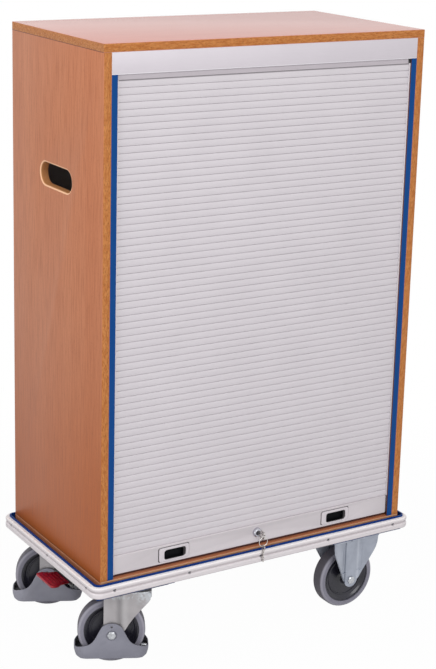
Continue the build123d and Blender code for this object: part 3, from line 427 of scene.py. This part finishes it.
coat(coated_board("deck_brown", colour(96, 62, 44), colour(120, 80, 56), 0.5), "deck_board")
coat(coated_board("board_grey", colour(201, 196, 196), colour(208, 203, 203), 0.45), "back_panel",
     "inner_back_panel", "inner_top_panel", "lower_shelf", "upper_shelf")
pin_zinc = bright_zinc("pin_zinc", colour(150, 152, 156), colour(184, 186, 190), 0.32, 200.0)
coat(pin_zinc, "shelf_pins")


# Pelmet and trim: a pale grey strip across the top of the opening hides the shutter's turn.
# Blue plastic strips cover the ends of the slats down both sides, with the pale lip of the slats' track
# beside them; a black block at the top on the right stands for the shade in the gap there.
PELMET_EDGE = 0.0008
STRIP_SKIN = 0.0006
LIP_W, LIP_SET_BACK, LIP_GAP, LIP_BELOW = 0.004, 0.0044, 0.0004, 0.044
GAP_SHADE_W, GAP_SHADE_H, GAP_SHADE_T = 0.0055, 0.011, 0.0025
TRACK_EDGE = 0.0004


def extruded(name, low, high, rough, drawn_out):
    """Extruded plastic, with the die's fine lines along its length and a little dust."""
    material, place = new_finish(name)
    line = place.stretched(drawn_out).noise(900.0, 2.0)
    dust = place.noise(11.0, 5.0, 0.6)
    dress(material, {"Base Color": (0.7 * dust + 0.3 * line).rise(0.3, 0.7).colours(low, high),
                     "Roughness": rough + 0.1 * line + 0.08 * dust}, line, 0.00002)
    return material


pale_grey = extruded("pale_grey", colour(212, 205, 212), colour(216, 209, 216), 0.4, (0.01, 1.0, 1.0))
pelmet_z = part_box("pelmet")[0].z
# Painted highlight along the pelmet's lower edge.
pelmet_edge_highlight = places(pale_grey).axis("Z").rise(pelmet_z + 0.0026, pelmet_z + 0.001)
tinted(pale_grey, 0.75 * pelmet_edge_highlight, colour(242, 239, 244))
rounded("pelmet", PELMET_EDGE, pale_grey)

trim_blue, place = new_finish("trim_blue")
line = place.stretched((1.0, 1.0, 0.01)).noise(900.0, 2.0)
strip_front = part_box("left_trim_strip")[0].y
core = place.axis("Y").rise(strip_front + STRIP_SKIN, strip_front + 1.5 * STRIP_SKIN)
blue = place.noise(11.0, 5.0, 0.6).colours(colour(4, 64, 128), colour(10, 74, 142))
dress(trim_blue, {"Base Color": core.colours(blue, colour(104, 62, 48)), "Roughness": 0.38 + 0.1 * line,
                  "Specular IOR Level": 0.15}, line, 0.00002)
coat(trim_blue, "left_trim_strip", "right_trim_strip")


def block(mesh, low, high, edge):
    """A box between two corners, its edges broken."""
    made = bmesh.ops.create_cube(mesh, size=1.0)["verts"]
    bmesh.ops.scale(mesh, vec=[b - a for a, b in zip(low, high)], verts=made)
    bmesh.ops.translate(mesh, vec=[(a + b) / 2 for a, b in zip(low, high)], verts=made)
    edges = list({part for vert in made for part in vert.link_edges})
    bmesh.ops.bevel(mesh, geom=edges, offset=edge, affect="EDGES", segments=2, profile=0.5, material=-1)


slat_low, slat_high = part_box("shutter_slats")
strip_low, strip_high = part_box("right_trim_strip")
lip_grey = extruded("lip_grey", colour(216, 210, 214), colour(222, 216, 220), 0.4, (1.0, 1.0, 0.01))
gap_shade_black = extruded("gap_shade_black", colour(10, 9, 12), colour(18, 17, 20), 0.6, (1.0, 1.0, 1.0))
lips = bmesh.new()
for side in (-1, 1):
    x = sorted((side * strip_low.x, side * (strip_low.x - LIP_W)))
    block(lips, (x[0], strip_low.y + LIP_SET_BACK, slat_low.z - LIP_BELOW),
          (x[1], slat_low.y - LIP_GAP, strip_high.z - GAP_SHADE_H), TRACK_EDGE)
finished(lips, "track_lips", lip_grey, "base", "board_grey")
# Black block standing for the shade in the gap under the pelmet on the right.
shade_block = bmesh.new()
block(shade_block, (strip_low.x - GAP_SHADE_W, slat_low.y - GAP_SHADE_T, strip_high.z - GAP_SHADE_H),
      (strip_low.x, slat_low.y - LIP_GAP, strip_high.z), TRACK_EDGE)
finished(shade_block, "track_shade_block", gap_shade_black, "base", "pull_black")


# Roll shutter: seventy extruded plastic slats hooked into each other, sliding in grooves in the
# side panels. Raised, they run under the top and down behind the lining.
SLATS, SEAM, SLAT_ROUND = 70, 0.0006, 0.0011
HOOK_T, HOOK_INSET = 0.002, 0.002

width, thickness, height = slat_high - slat_low
pitch = height / SLATS
middle_y = (slat_low.y + slat_high.y) / 2
curtain = bmesh.new()
for i in range(SLATS):
    made = bmesh.ops.create_cube(curtain, size=1.0)["verts"]
    bmesh.ops.scale(curtain, vec=(width, thickness, pitch - SEAM), verts=made)
    bmesh.ops.translate(curtain, vec=(0, middle_y, slat_low.z + (i + 0.5) * pitch), verts=made)
    front = [e for e in {e for v in made for e in v.link_edges}
             if all(v.co.y < middle_y for v in e.verts) and e.calc_length() > width / 2]
    bmesh.ops.bevel(curtain, geom=front, offset=SLAT_ROUND, affect="EDGES", segments=2, profile=0.5,
                    material=-1)
hooks = bmesh.ops.create_cube(curtain, size=1.0)["verts"]
bmesh.ops.scale(curtain, vec=(width - HOOK_INSET, HOOK_T, height - HOOK_INSET), verts=hooks)
bmesh.ops.translate(curtain, vec=(0, middle_y, (slat_low.z + slat_high.z) / 2), verts=hooks)
slat_grey = extruded("slat_grey", colour(213, 207, 212), colour(217, 211, 216), 0.42, (0.01, 1.0, 1.0))
up = places(slat_grey).axis("Z")
first_seam = slat_high.z - pitch
# Painted shadow of the pelmet on the first slat, and its first seam painted darker as shade.
tinted(slat_grey, 0.55 * up.rise(first_seam, first_seam + 0.004), colour(172, 162, 170))
tinted(slat_grey, 0.55 * abs(up - first_seam).rise(0.0026, 0.001), colour(112, 103, 110))
slats = finished(curtain, "shutter_curtain", slat_grey, "base", "shutter")
travel = next(j["range_m"][1] for j in frame["joints"] if j["name"] == "shutter_lift")
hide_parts("shutter_slats")
(height - travel) / height
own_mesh(slats)


# Shutter's bottom bar: a flat extruded profile below the last slat, recessed for the finger pulls; the recesses
# are painted near black as shade.
# Its foot is a lip painted dark as the shade under it; a dark brown block at its right end stands for the shade in
# the gap there, and a pale cover closes its left end.
BAR_H, BAR_EDGE = 0.046, 0.0007
CLOSER_W, CLOSER_T, CLOSER_EDGE = 0.0035, 0.0012, 0.0003
SIDE_PLAY = 0.005

bar_foot = slat_low.z - BAR_H
bar_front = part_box("shutter_bar")[0].y
bar_grey, place = new_finish("bar_grey")
up, inward = place.axis("Z"), place.axis("Y")
line = place.stretched((0.01, 1.0, 1.0)).noise(900.0, 2.0)
dust = place.noise(11.0, 5.0, 0.6)
# The lip under the bar is painted dark, as shade.
lip_shade = up.rise(bar_foot, bar_foot - 0.0004)
plain = (0.7 * dust + 0.3 * line).rise(0.3, 0.7).colours(colour(210, 203, 207), colour(214, 207, 211))
# The recesses behind the bar's face are painted near black, as shade.
recess_shade = inward.rise(bar_front + 0.0015, bar_front + 0.0025) \
    * inward.rise(bar_front + 0.0045, bar_front + 0.0040) \
    * up.rise(bar_foot + 0.002, bar_foot + 0.003) * up.rise(slat_low.z - 0.003, slat_low.z - 0.004)
plain = recess_shade.colours(plain, colour(30, 22, 26))
dress(bar_grey, {"Base Color": lip_shade.colours(plain, colour(78, 44, 40)),
                 "Roughness": 0.4 + 0.1 * line + 0.08 * dust + 0.2 * lip_shade}, line, 0.00002)
rounded("shutter_bar", BAR_EDGE, bar_grey, keen=60.0)

# Dark brown block at the bar's right end, standing for the shade in the gap beside it.
end_shade_brown = extruded("end_shade_brown", colour(52, 34, 32), colour(66, 46, 42), 0.7, (1.0, 1.0, 1.0))
bar_end = strip_low.x - SIDE_PLAY
for name, left, finish, slot in (("bar_end_shade", bar_end, end_shade_brown, "lever_black"),
                                 ("bar_end_cover", -bar_end - CLOSER_W, bar_grey, "shutter")):
    closer = bmesh.new()
    block(closer, (left, bar_front, bar_foot), (left + CLOSER_W, bar_front + CLOSER_T, slat_low.z), CLOSER_EDGE)
    finished(closer, name, finish, "shutter", slot)


# Finger pulls: black moulded cups pressed into pockets of the shutter's bottom bar, each framed by
# a pale plate that lies loose in its recess. Faces are matt, with a fine spark texture from the mould.
RECESS_L, RECESS_H, RECESS_DEPTH, RECESS_UP = 0.084, 0.037, 0.0035, 0.003
PLATE_GAP, PLATE_TOP_GAP, PLATE_BACK_GAP = 0.0032, 0.0024, 0.0002
PLATE_SET_IN, PLATE_FIT, PLATE_R, PLATE_EDGE = 0.0004, 0.0001, 0.0055, 0.0006
OPENING_R, OPENING_SHIFT, OPENING_EASE = 0.007, 0.0035, 0.002


def moulded(name, low, high, rough, grain):
    """Moulded plastic with a spark textured face."""
    material, place = new_finish(name)
    spark = place.noise(grain, 2.0)
    flow = place.noise(18.0, 4.0)
    dress(material, {"Base Color": flow.rise(0.3, 0.7).colours(low, high),
                     "Roughness": rough + 0.14 * spark}, spark, 0.00005)
    return material


pull_black = moulded("pull_black", colour(3, 4, 8), colour(7, 8, 13), 0.6, 1100.0)
dress(pull_black, {"Specular IOR Level": 0.12})
coat(pull_black, "left_finger_pull", "right_finger_pull")
pull_grey = moulded("pull_grey", colour(214, 207, 212), colour(220, 213, 218), 0.4, 900.0)


def rounded_outline(mesh, left, right, foot, head, radius, y):
    """Edges of an upright rectangle with round corners."""
    made = bmesh.ops.create_grid(mesh, x_segments=1, y_segments=1, size=0.5)["verts"]
    bmesh.ops.rotate(mesh, cent=(0, 0, 0), matrix=Matrix.Rotation(pi / 2, 3, "X"), verts=made)
    bmesh.ops.scale(mesh, vec=(right - left, 1.0, head - foot), verts=made)
    bmesh.ops.translate(mesh, vec=((left + right) / 2, y, (foot + head) / 2), verts=made)
    bent = bmesh.ops.bevel(mesh, geom=made, offset=radius, affect="VERTICES", segments=5, profile=0.5,
                           material=-1)
    faces = {face for vert in bent["verts"] for face in vert.link_faces}
    face = max(faces, key=lambda part: part.calc_area())
    edges = list(face.edges)
    bmesh.ops.delete(mesh, geom=[face], context="FACES_ONLY")
    return edges


for side in ("left", "right"):
    cup_low, cup_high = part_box(side + "_finger_pull")
    recess_x = (cup_low.x + cup_high.x) / 2
    recess_z = (cup_low.z + cup_high.z) / 2 + RECESS_UP
    plate = bmesh.new()
    y = bar_front + PLATE_SET_IN
    outer = rounded_outline(plate, recess_x - RECESS_L / 2 + PLATE_GAP,
                            recess_x + RECESS_L / 2 - PLATE_BACK_GAP,
                            recess_z - RECESS_H / 2 + PLATE_BACK_GAP,
                            recess_z + RECESS_H / 2 - PLATE_TOP_GAP, PLATE_R, y)
    opening = rounded_outline(plate, cup_low.x + OPENING_SHIFT,
                              cup_high.x + OPENING_SHIFT + OPENING_EASE,
                              cup_low.z - OPENING_EASE / 2, cup_high.z + OPENING_EASE, OPENING_R, y)
    front = bmesh.ops.bridge_loops(plate, edges=outer + opening)["faces"]
    grown = bmesh.ops.extrude_face_region(plate, geom=front)["geom"]
    bmesh.ops.translate(plate, vec=(0, RECESS_DEPTH - PLATE_SET_IN - PLATE_FIT, 0),
                        verts=[part for part in grown if isinstance(part, bmesh.types.BMVert)])
    bmesh.ops.recalc_face_normals(plate, faces=plate.faces)
    keen = [e for e in plate.edges if len(e.link_faces) == 2 and e.calc_face_angle() > radians(60)
            and all(v.co.y < y + 1e-5 for v in e.verts)]
    bmesh.ops.bevel(plate, geom=keen, offset=PLATE_EDGE, affect="EDGES", segments=2, profile=0.5,
                    material=-1)
    finished(plate, side + "_pull_plate", pull_grey, "shutter", "shutter")


# Lock: a chromed dome with a turning plug in the middle of the bar, a nickel plated key in it,
# and a second key on a wire ring that hangs from the first.
def plated(name, low, high, rough):
    """Bright plating with faint haze and handling marks."""
    material, place = new_finish(name)
    haze = place.noise(240.0, 4.0)
    mark = place.stretched((1.0, 1.0, 0.2)).noise(1600.0, 2.0)
    dress(material, {"Base Color": haze.colours(low, high), "Metallic": 1.0,
                     "Roughness": rough + 0.12 * haze + 0.06 * mark}, mark, 0.00001)
    return material


coat(plated("lock_chrome", colour(172, 172, 180), colour(206, 206, 214), 0.14), "lock_barrel")
coat(plated("plug_chrome", colour(70, 70, 75), colour(100, 100, 105), 0.2), "lock_plug")
nickel = colour(206, 203, 200), colour(228, 225, 222)
coat(plated("key_nickel", *nickel, 0.22), "key_ring")
mottled_nickel = plated("mottled_nickel", *nickel, 0.22)
# Dark patches painted on the loose keys as reflections of their surroundings.
dark_reflection = places(mottled_nickel).noise(230.0, 1.0).rise(0.48, 0.58)
tinted(mottled_nickel, 0.75 * dark_reflection, colour(84, 78, 74))
coat(mottled_nickel, "lock_key", "spare_key")


# Wheels: grey rubber tyres, 160 mm across, on black moulded centres with a dished web and a long hub.
# Each turns on its axle bolt. The two castors at the pedal's end swivel, and stand turned a little.
SWIVEL_TURN = radians(-27.0)
TYRE_R, SEAT_R = 0.08, 0.0645
HUB_R, HUB_END, BORE = 0.015, 0.0325, 0.00605
RIM_FACE, WEB_FACE = 0.015, 0.0098
DISC_STEPS = 72
DISC = ((BORE, HUB_END), (0.0138, HUB_END), (HUB_R, 0.0313), (0.0155, 0.021), (0.0172, 0.0142),
        (0.0205, 0.0112), (0.026, WEB_FACE), (0.0462, WEB_FACE), (0.0475, 0.0114), (0.0496, 0.0114),
        (0.051, WEB_FACE), (0.0545, WEB_FACE), (0.0575, 0.0118), (0.0602, 0.0146), (0.061, RIM_FACE),
        (0.0644, RIM_FACE))


def centred(place, middle, turn):
    """Coordinates about a wheel's middle, with Y along its axle."""
    return place.node("Mapping", {}, {"Vector": place.vectors("SUBTRACT", middle),
                                      "Rotation": (0.0, 0.0, -turn)})


def from_axle(place):
    """Distance from a wheel's axle."""
    return place.vectors("MULTIPLY", (1.0, 0.0, 1.0)).length()


def tyre_rubber(name, middle, turn):
    """Grey rubber: a scuffed tread painted darker as shade, a painted highlight on the shoulder, and faint
    moulding rings on the walls.
    """
    material, place = new_finish(name)
    place = centred(place, middle, turn)
    radius = from_axle(place)
    tread = radius.rise(TYRE_R - 0.0014, TYRE_R - 0.0003)
    scuff = place.stretched((1.0, 0.25, 1.0)).noise(160.0, 4.0, 0.65)
    seat = radius.rise(SEAT_R + 0.0022, SEAT_R + 0.0004)
    ring = radius.maths("SINE", radius * 2400.0, 0.0)
    ring = ring * radius.rise(0.066, 0.068) * radius.rise(0.077, 0.075)
    wall = place.noise(24.0, 4.0).rise(0.3, 0.7).colours(colour(136, 134, 147), colour(146, 144, 157))
    shoulder_highlight = radius.rise(TYRE_R - 0.008, TYRE_R - 0.004) * radius.rise(TYRE_R - 0.001, TYRE_R - 0.002)
    wall = (0.45 * shoulder_highlight).colours(wall, colour(186, 184, 194))
    # The tread is painted darker as shade, with real scuffs over it.
    worn = (0.75 * tread + 0.2 * tread * scuff).colours(wall, colour(101, 98, 104))
    dress(material, {"Base Color": (0.6 * seat).colours(worn, colour(60, 60, 66)),
                     "Roughness": 0.55 + 0.2 * scuff, "Specular IOR Level": 0.3},
          0.5 * ring + 0.6 * place.noise(420.0, 2.0), 0.00012)
    return material


def wheel_disc(name, middle, turn, material):
    """Moulded centre: a hub that reaches the legs, a dished web with one rib, and a flat rim."""
    mesh = bmesh.new()
    outline = list(DISC) + [(radius, -out) for radius, out in reversed(DISC)]
    verts = [mesh.verts.new((radius, out, 0.0)) for radius, out in outline]
    edges = [mesh.edges.new((a, b)) for a, b in zip(verts, verts[1:] + verts[:1])]
    bmesh.ops.spin(mesh, geom=verts + edges, cent=(0, 0, 0), axis=(0, 1, 0), angle=2 * pi,
                   steps=DISC_STEPS, use_merge=True)
    place = Matrix.Translation(middle) @ Matrix.Rotation(turn, 4, "Z")
    bmesh.ops.transform(mesh, matrix=place, verts=mesh.verts)
    disc = finished(mesh, name + "_disc", material, body_of[name], slot_of[name], 40.0)
    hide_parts(name)


centre_black = moulded("centre_black", colour(30, 29, 39), colour(41, 40, 52), 0.2, 900.0)
wheels = {}
for end in ("front_", "rear_"):
    for kind, turn in (("swivel_", SWIVEL_TURN), ("fixed_", 0.0)):
        wheel = end + kind
        low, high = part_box(wheel + "tyre")
        middle = (low + high) / 2
        wheels[wheel] = middle, turn
        coat(tyre_rubber(wheel + "rubber", middle, turn), wheel + "tyre")
        wheel_disc(wheel + "wheel_centre", middle, turn, centre_black)


# Foot guards: grey moulded skirts round the two swivel wheels, each fixed to its fork.
# They are clean outside; inside the skirt their grey is painted dark as shade, and a bright screw end shows there.
GUARD_L, GUARD_W, GUARD_R, GUARD_EDGE = 0.176, 0.084, 0.032, 0.0011
GUARD_SCREW = 0.0765, -0.024, -0.033                  # from the wheel's middle
GUARD_SCREW_R, GUARD_SCREW_L, GUARD_SCREW_SIDES = 0.003, 0.0125, 20


def guard_plastic(name, low, high, middle, turn):
    """Grey moulded plastic, with painted shade darkening it inside the skirt."""
    material = moulded(name, low, high, 0.5, 800.0)
    core = GUARD_L / 2 - GUARD_R, GUARD_W / 2 - GUARD_R, 0.0
    across = centred(places(material), middle, turn).from_core(core, (1.0, 1.0, 0.0))
    inside = across.rise(GUARD_R - 0.0012, GUARD_R - 0.0024)
    # Painted shade inside the skirt.
    return tinted(material, 0.85 * inside, colour(38, 38, 42))


bolt_zinc = bright_zinc("bolt_zinc", colour(170, 172, 176), colour(204, 206, 210), 0.24, 200.0)
# The rear guard's grey is painted lighter than the front one, as the light falling on it.
guard_greys = {"front_": (colour(130, 130, 142), colour(140, 140, 152)),
               "rear_": (colour(148, 148, 160), colour(158, 158, 170))}
for end, greys in guard_greys.items():
    middle, turn = wheels[end + "swivel_"]
    guard = guard_plastic(end + "guard_grey", *greys, middle, turn)
    rounded(end + "foot_guard", GUARD_EDGE, guard, keen=40.0)
    screw = bmesh.new()
    spot = Matrix.Translation(middle) @ Matrix.Rotation(turn, 4, "Z")
    spot = spot @ Matrix.Translation(GUARD_SCREW) @ Matrix.Rotation(pi / 2, 4, "Y")
    bmesh.ops.create_cone(screw, cap_ends=True, segments=GUARD_SCREW_SIDES, radius1=GUARD_SCREW_R,
                          radius2=GUARD_SCREW_R, depth=GUARD_SCREW_L, matrix=spot)
    keen = [e for e in screw.edges if e.calc_face_angle() > radians(60)]
    bmesh.ops.bevel(screw, geom=keen, offset=GUARD_SCREW_R / 2, affect="EDGES", segments=3, profile=0.5,
                    material=-1)
    finished(screw, end + "guard_screw", bolt_zinc, body_of[end + "foot_guard"],
             slot_of[end + "swivel_axle"])


# Forks and brackets: pressed and folded sheet, zinc plated, with painted shade and highlights along the folds and
# painted glints on the fork.
# They are bolted under the frame's end plates; each fork turns on a hollow pin below its head plate.
SHEET_EDGE = 0.001
# Painted shade and painted highlights beside the folds: place along the roll, half width, share, tone.
FORK_FOLD_SHADING = ((0.018, 0.012, 0.6, colour(128, 126, 128)),
                (0.031, 0.012, 0.35, colour(206, 204, 205)))
BRACKET_FOLD_SHADING = ((-0.019, 0.0035, 0.85, colour(96, 102, 116)),
                   (-0.05, 0.029, 0.25, colour(214, 218, 227)),
                   (0.019, 0.006, 0.35, colour(208, 212, 221)))


def folded_zinc(name, low, high, middle, turn, fold_shading):
    """Pressed sheet with painted shade and painted highlights along its folds, placed by distance along the
    wheel's roll.
    """
    material = bright_zinc(name, low, high, 0.36, 30.0)
    along = centred(places(material), middle, turn).axis("X")
    for fold, half_width, share, tone in fold_shading:
        tinted(material, share * abs(along - fold).rise(half_width, 0.0), tone)
    return material


fork_tones = colour(165, 161, 163), colour(181, 177, 179)
sheet_tones = colour(156, 161, 173), colour(174, 179, 191)
# The swivel plates are coloured dark as the shade under the bumper.
shaded_plate_zinc = bright_zinc("shaded_plate_zinc", colour(84, 86, 92), colour(112, 114, 120), 0.3, 30.0)
for end in ("front_", "rear_"):
    middle, turn = wheels[end + "swivel_"]
    fork = folded_zinc(end + "fork_zinc", *fork_tones, middle, turn, FORK_FOLD_SHADING)
    place = places(fork)
    above = place.axis("Z") - (middle.z + TYRE_R)
    # Painted glints on the fork near its head and on its nose.
    crown_glints = above.rise(0.004, 0.016) * place.noise(110.0, 2.0).rise(0.5, 0.6)
    tinted(fork, 0.45 * crown_glints, colour(214, 222, 228))
    nose_glints = centred(place, middle, turn).axis("X").rise(0.05, 0.07) * above.rise(-0.012, 0.006)
    tinted(fork, 0.4 * nose_glints * place.noise(90.0, 2.0).rise(0.42, 0.55), colour(220, 228, 234))
    rounded(end + "swivel_fork", SHEET_EDGE, fork, keen=40.0, smooth_under=20.0)
    bracket = folded_zinc(end + "bracket_zinc", *sheet_tones, *wheels[end + "fixed_"], BRACKET_FOLD_SHADING)
    rounded(end + "fixed_bracket", SHEET_EDGE, bracket, keen=40.0, smooth_under=20.0)
    coat(shaded_plate_zinc, end + "swivel_plate")
    coat(bolt_zinc, end + "swivel_axle", end + "fixed_axle", end + "king_pin", end + "brake_plunger")
coat(bolt_zinc, "castor_bolts")


# Central brake: a red ribbed pedal pad on a black lever, hung under the frame's end on a pin.
# The lever turns a cross shaft whose fingers push a plunger down through each swivel pin.
PEDAL_EDGE = 0.0007

pedal_red = moulded("pedal_red", colour(156, 8, 28), colour(176, 16, 40), 0.34, 700.0)
# A darker red mottle over the pad.
dark_mottle = places(pedal_red).noise(170.0, 2.0).rise(0.5, 0.6)
tinted(pedal_red, 0.5 * dark_mottle, colour(96, 4, 16))
rounded("brake_pedal", PEDAL_EDGE, pedal_red, keen=40.0)
lever_black = moulded("lever_black", colour(18, 18, 22), colour(30, 30, 35), 0.36, 500.0)
coat(lever_black, "pedal_lever", "pedal_bracket")
coat(moulded("clip_black", colour(24, 24, 28), colour(34, 34, 38), 0.45, 600.0), "shaft_clips")
coat(bolt_zinc, "pedal_pivot_pin", "brake_shaft")


# Studio: a wide pale floor, an even white surround, and soft lamps at the front, above the left end
# and low beside it. The camera stands where the photograph's did.
FLOOR_HALF = 40.0
WHITE = 1.0, 1.0, 1.0, 1.0
AMBIENT = 0.52

floor_mesh = bmesh.new()
bmesh.ops.create_grid(floor_mesh, x_segments=1, y_segments=1, size=FLOOR_HALF)
floor_data = bpy.data.meshes.new("floor")
floor_mesh.to_mesh(floor_data)
floor_mesh.free()
floor = bpy.data.objects.new("floor", floor_data)
bpy.context.scene.collection.objects.link(floor)
pale_floor, place = new_finish("pale_floor")
dress(pale_floor, {"Base Color": place.noise(3.0).colours((0.55, 0.55, 0.55, 1), (0.58, 0.58, 0.58, 1)),
                   "Roughness": 0.9, "Specular IOR Level": 0.1})
floor_data.materials.append(pale_floor)


def background_rays(tree):
    """1 for the rays that look straight at the surround, or see it in gloss or through glass."""
    rays = tree.nodes.new("ShaderNodeLightPath").outputs
    seen = Field(rays["Is Camera Ray"])
    for kind in ("Is Glossy Ray", "Is Transmission Ray"):
        seen = seen.maths("MAXIMUM", seen, Field(rays[kind]))
    return seen


tree = pale_floor.node_tree
share = background_rays(tree) * (0.98 + 0.02 * place.length().rise(0.7, 1.8))
glow = place.node("Emission", {}, {"Color": WHITE, "Strength": 1.0})
lit = Field(tree.nodes["Principled BSDF"].outputs[0])
surface = share.node("MixShader", {}, {0: share, 1: lit, 2: glow})
tree.links.new(surface.output, tree.nodes["Material Output"].inputs["Surface"])

world = bpy.data.worlds.new("surround")
bpy.context.scene.world = world
world.use_nodes = True
tree = world.node_tree
tree.nodes["Background"].inputs["Color"].default_value = WHITE
tree.nodes["Background"].inputs["Strength"].default_value = AMBIENT
ambient = Field(tree.nodes["Background"].outputs[0])
white = ambient.node("Background", {}, {"Color": WHITE, "Strength": 1.0})
both = ambient.node("MixShader", {}, {0: background_rays(tree), 1: ambient, 2: white})
tree.links.new(both.output, tree.nodes["World Output"].inputs["Surface"])


def soft_lamp(name, power, size, where, target):
    """A square area lamp, turned towards its target."""
    data = bpy.data.lights.new(name, "AREA")
    data.energy = power
    data.size = size
    lamp = bpy.data.objects.new(name, data)
    bpy.context.scene.collection.objects.link(lamp)
    lamp.location = where
    lamp.rotation_mode = "QUATERNION"
    lamp.rotation_quaternion = (Vector(target) - Vector(where)).to_track_quat("-Z", "Y")


soft_lamp("front_lamp", 72.0, 2.2, (-0.4, -3.8, 2.6), (0.0, 0.0, 0.8))
soft_lamp("side_lamp", 34.0, 1.5, (-2.6, -0.4, 3.1), (-0.4, 0.0, 1.2))
soft_lamp("low_lamp", 6.0, 1.0, (-2.8, -1.2, 0.45), (-0.35, 0.1, 0.1))

camera_data = bpy.data.cameras.new("camera")
camera_data.lens = 88.7156
camera_data.sensor_width = 36.0
camera_data.shift_x = -0.008862
camera_data.shift_y = -0.081643
camera_data.clip_end = 200.0
camera = bpy.data.objects.new("camera", camera_data)
bpy.context.scene.collection.objects.link(camera)
camera.location = (-2.035981, -3.292411, 1.878820)
camera.rotation_euler = [radians(angle) for angle in (75.16720705, -1.49709253, -31.70181284)]
bpy.context.scene.camera = camera
bpy.context.scene.view_settings.view_transform = "Standard"
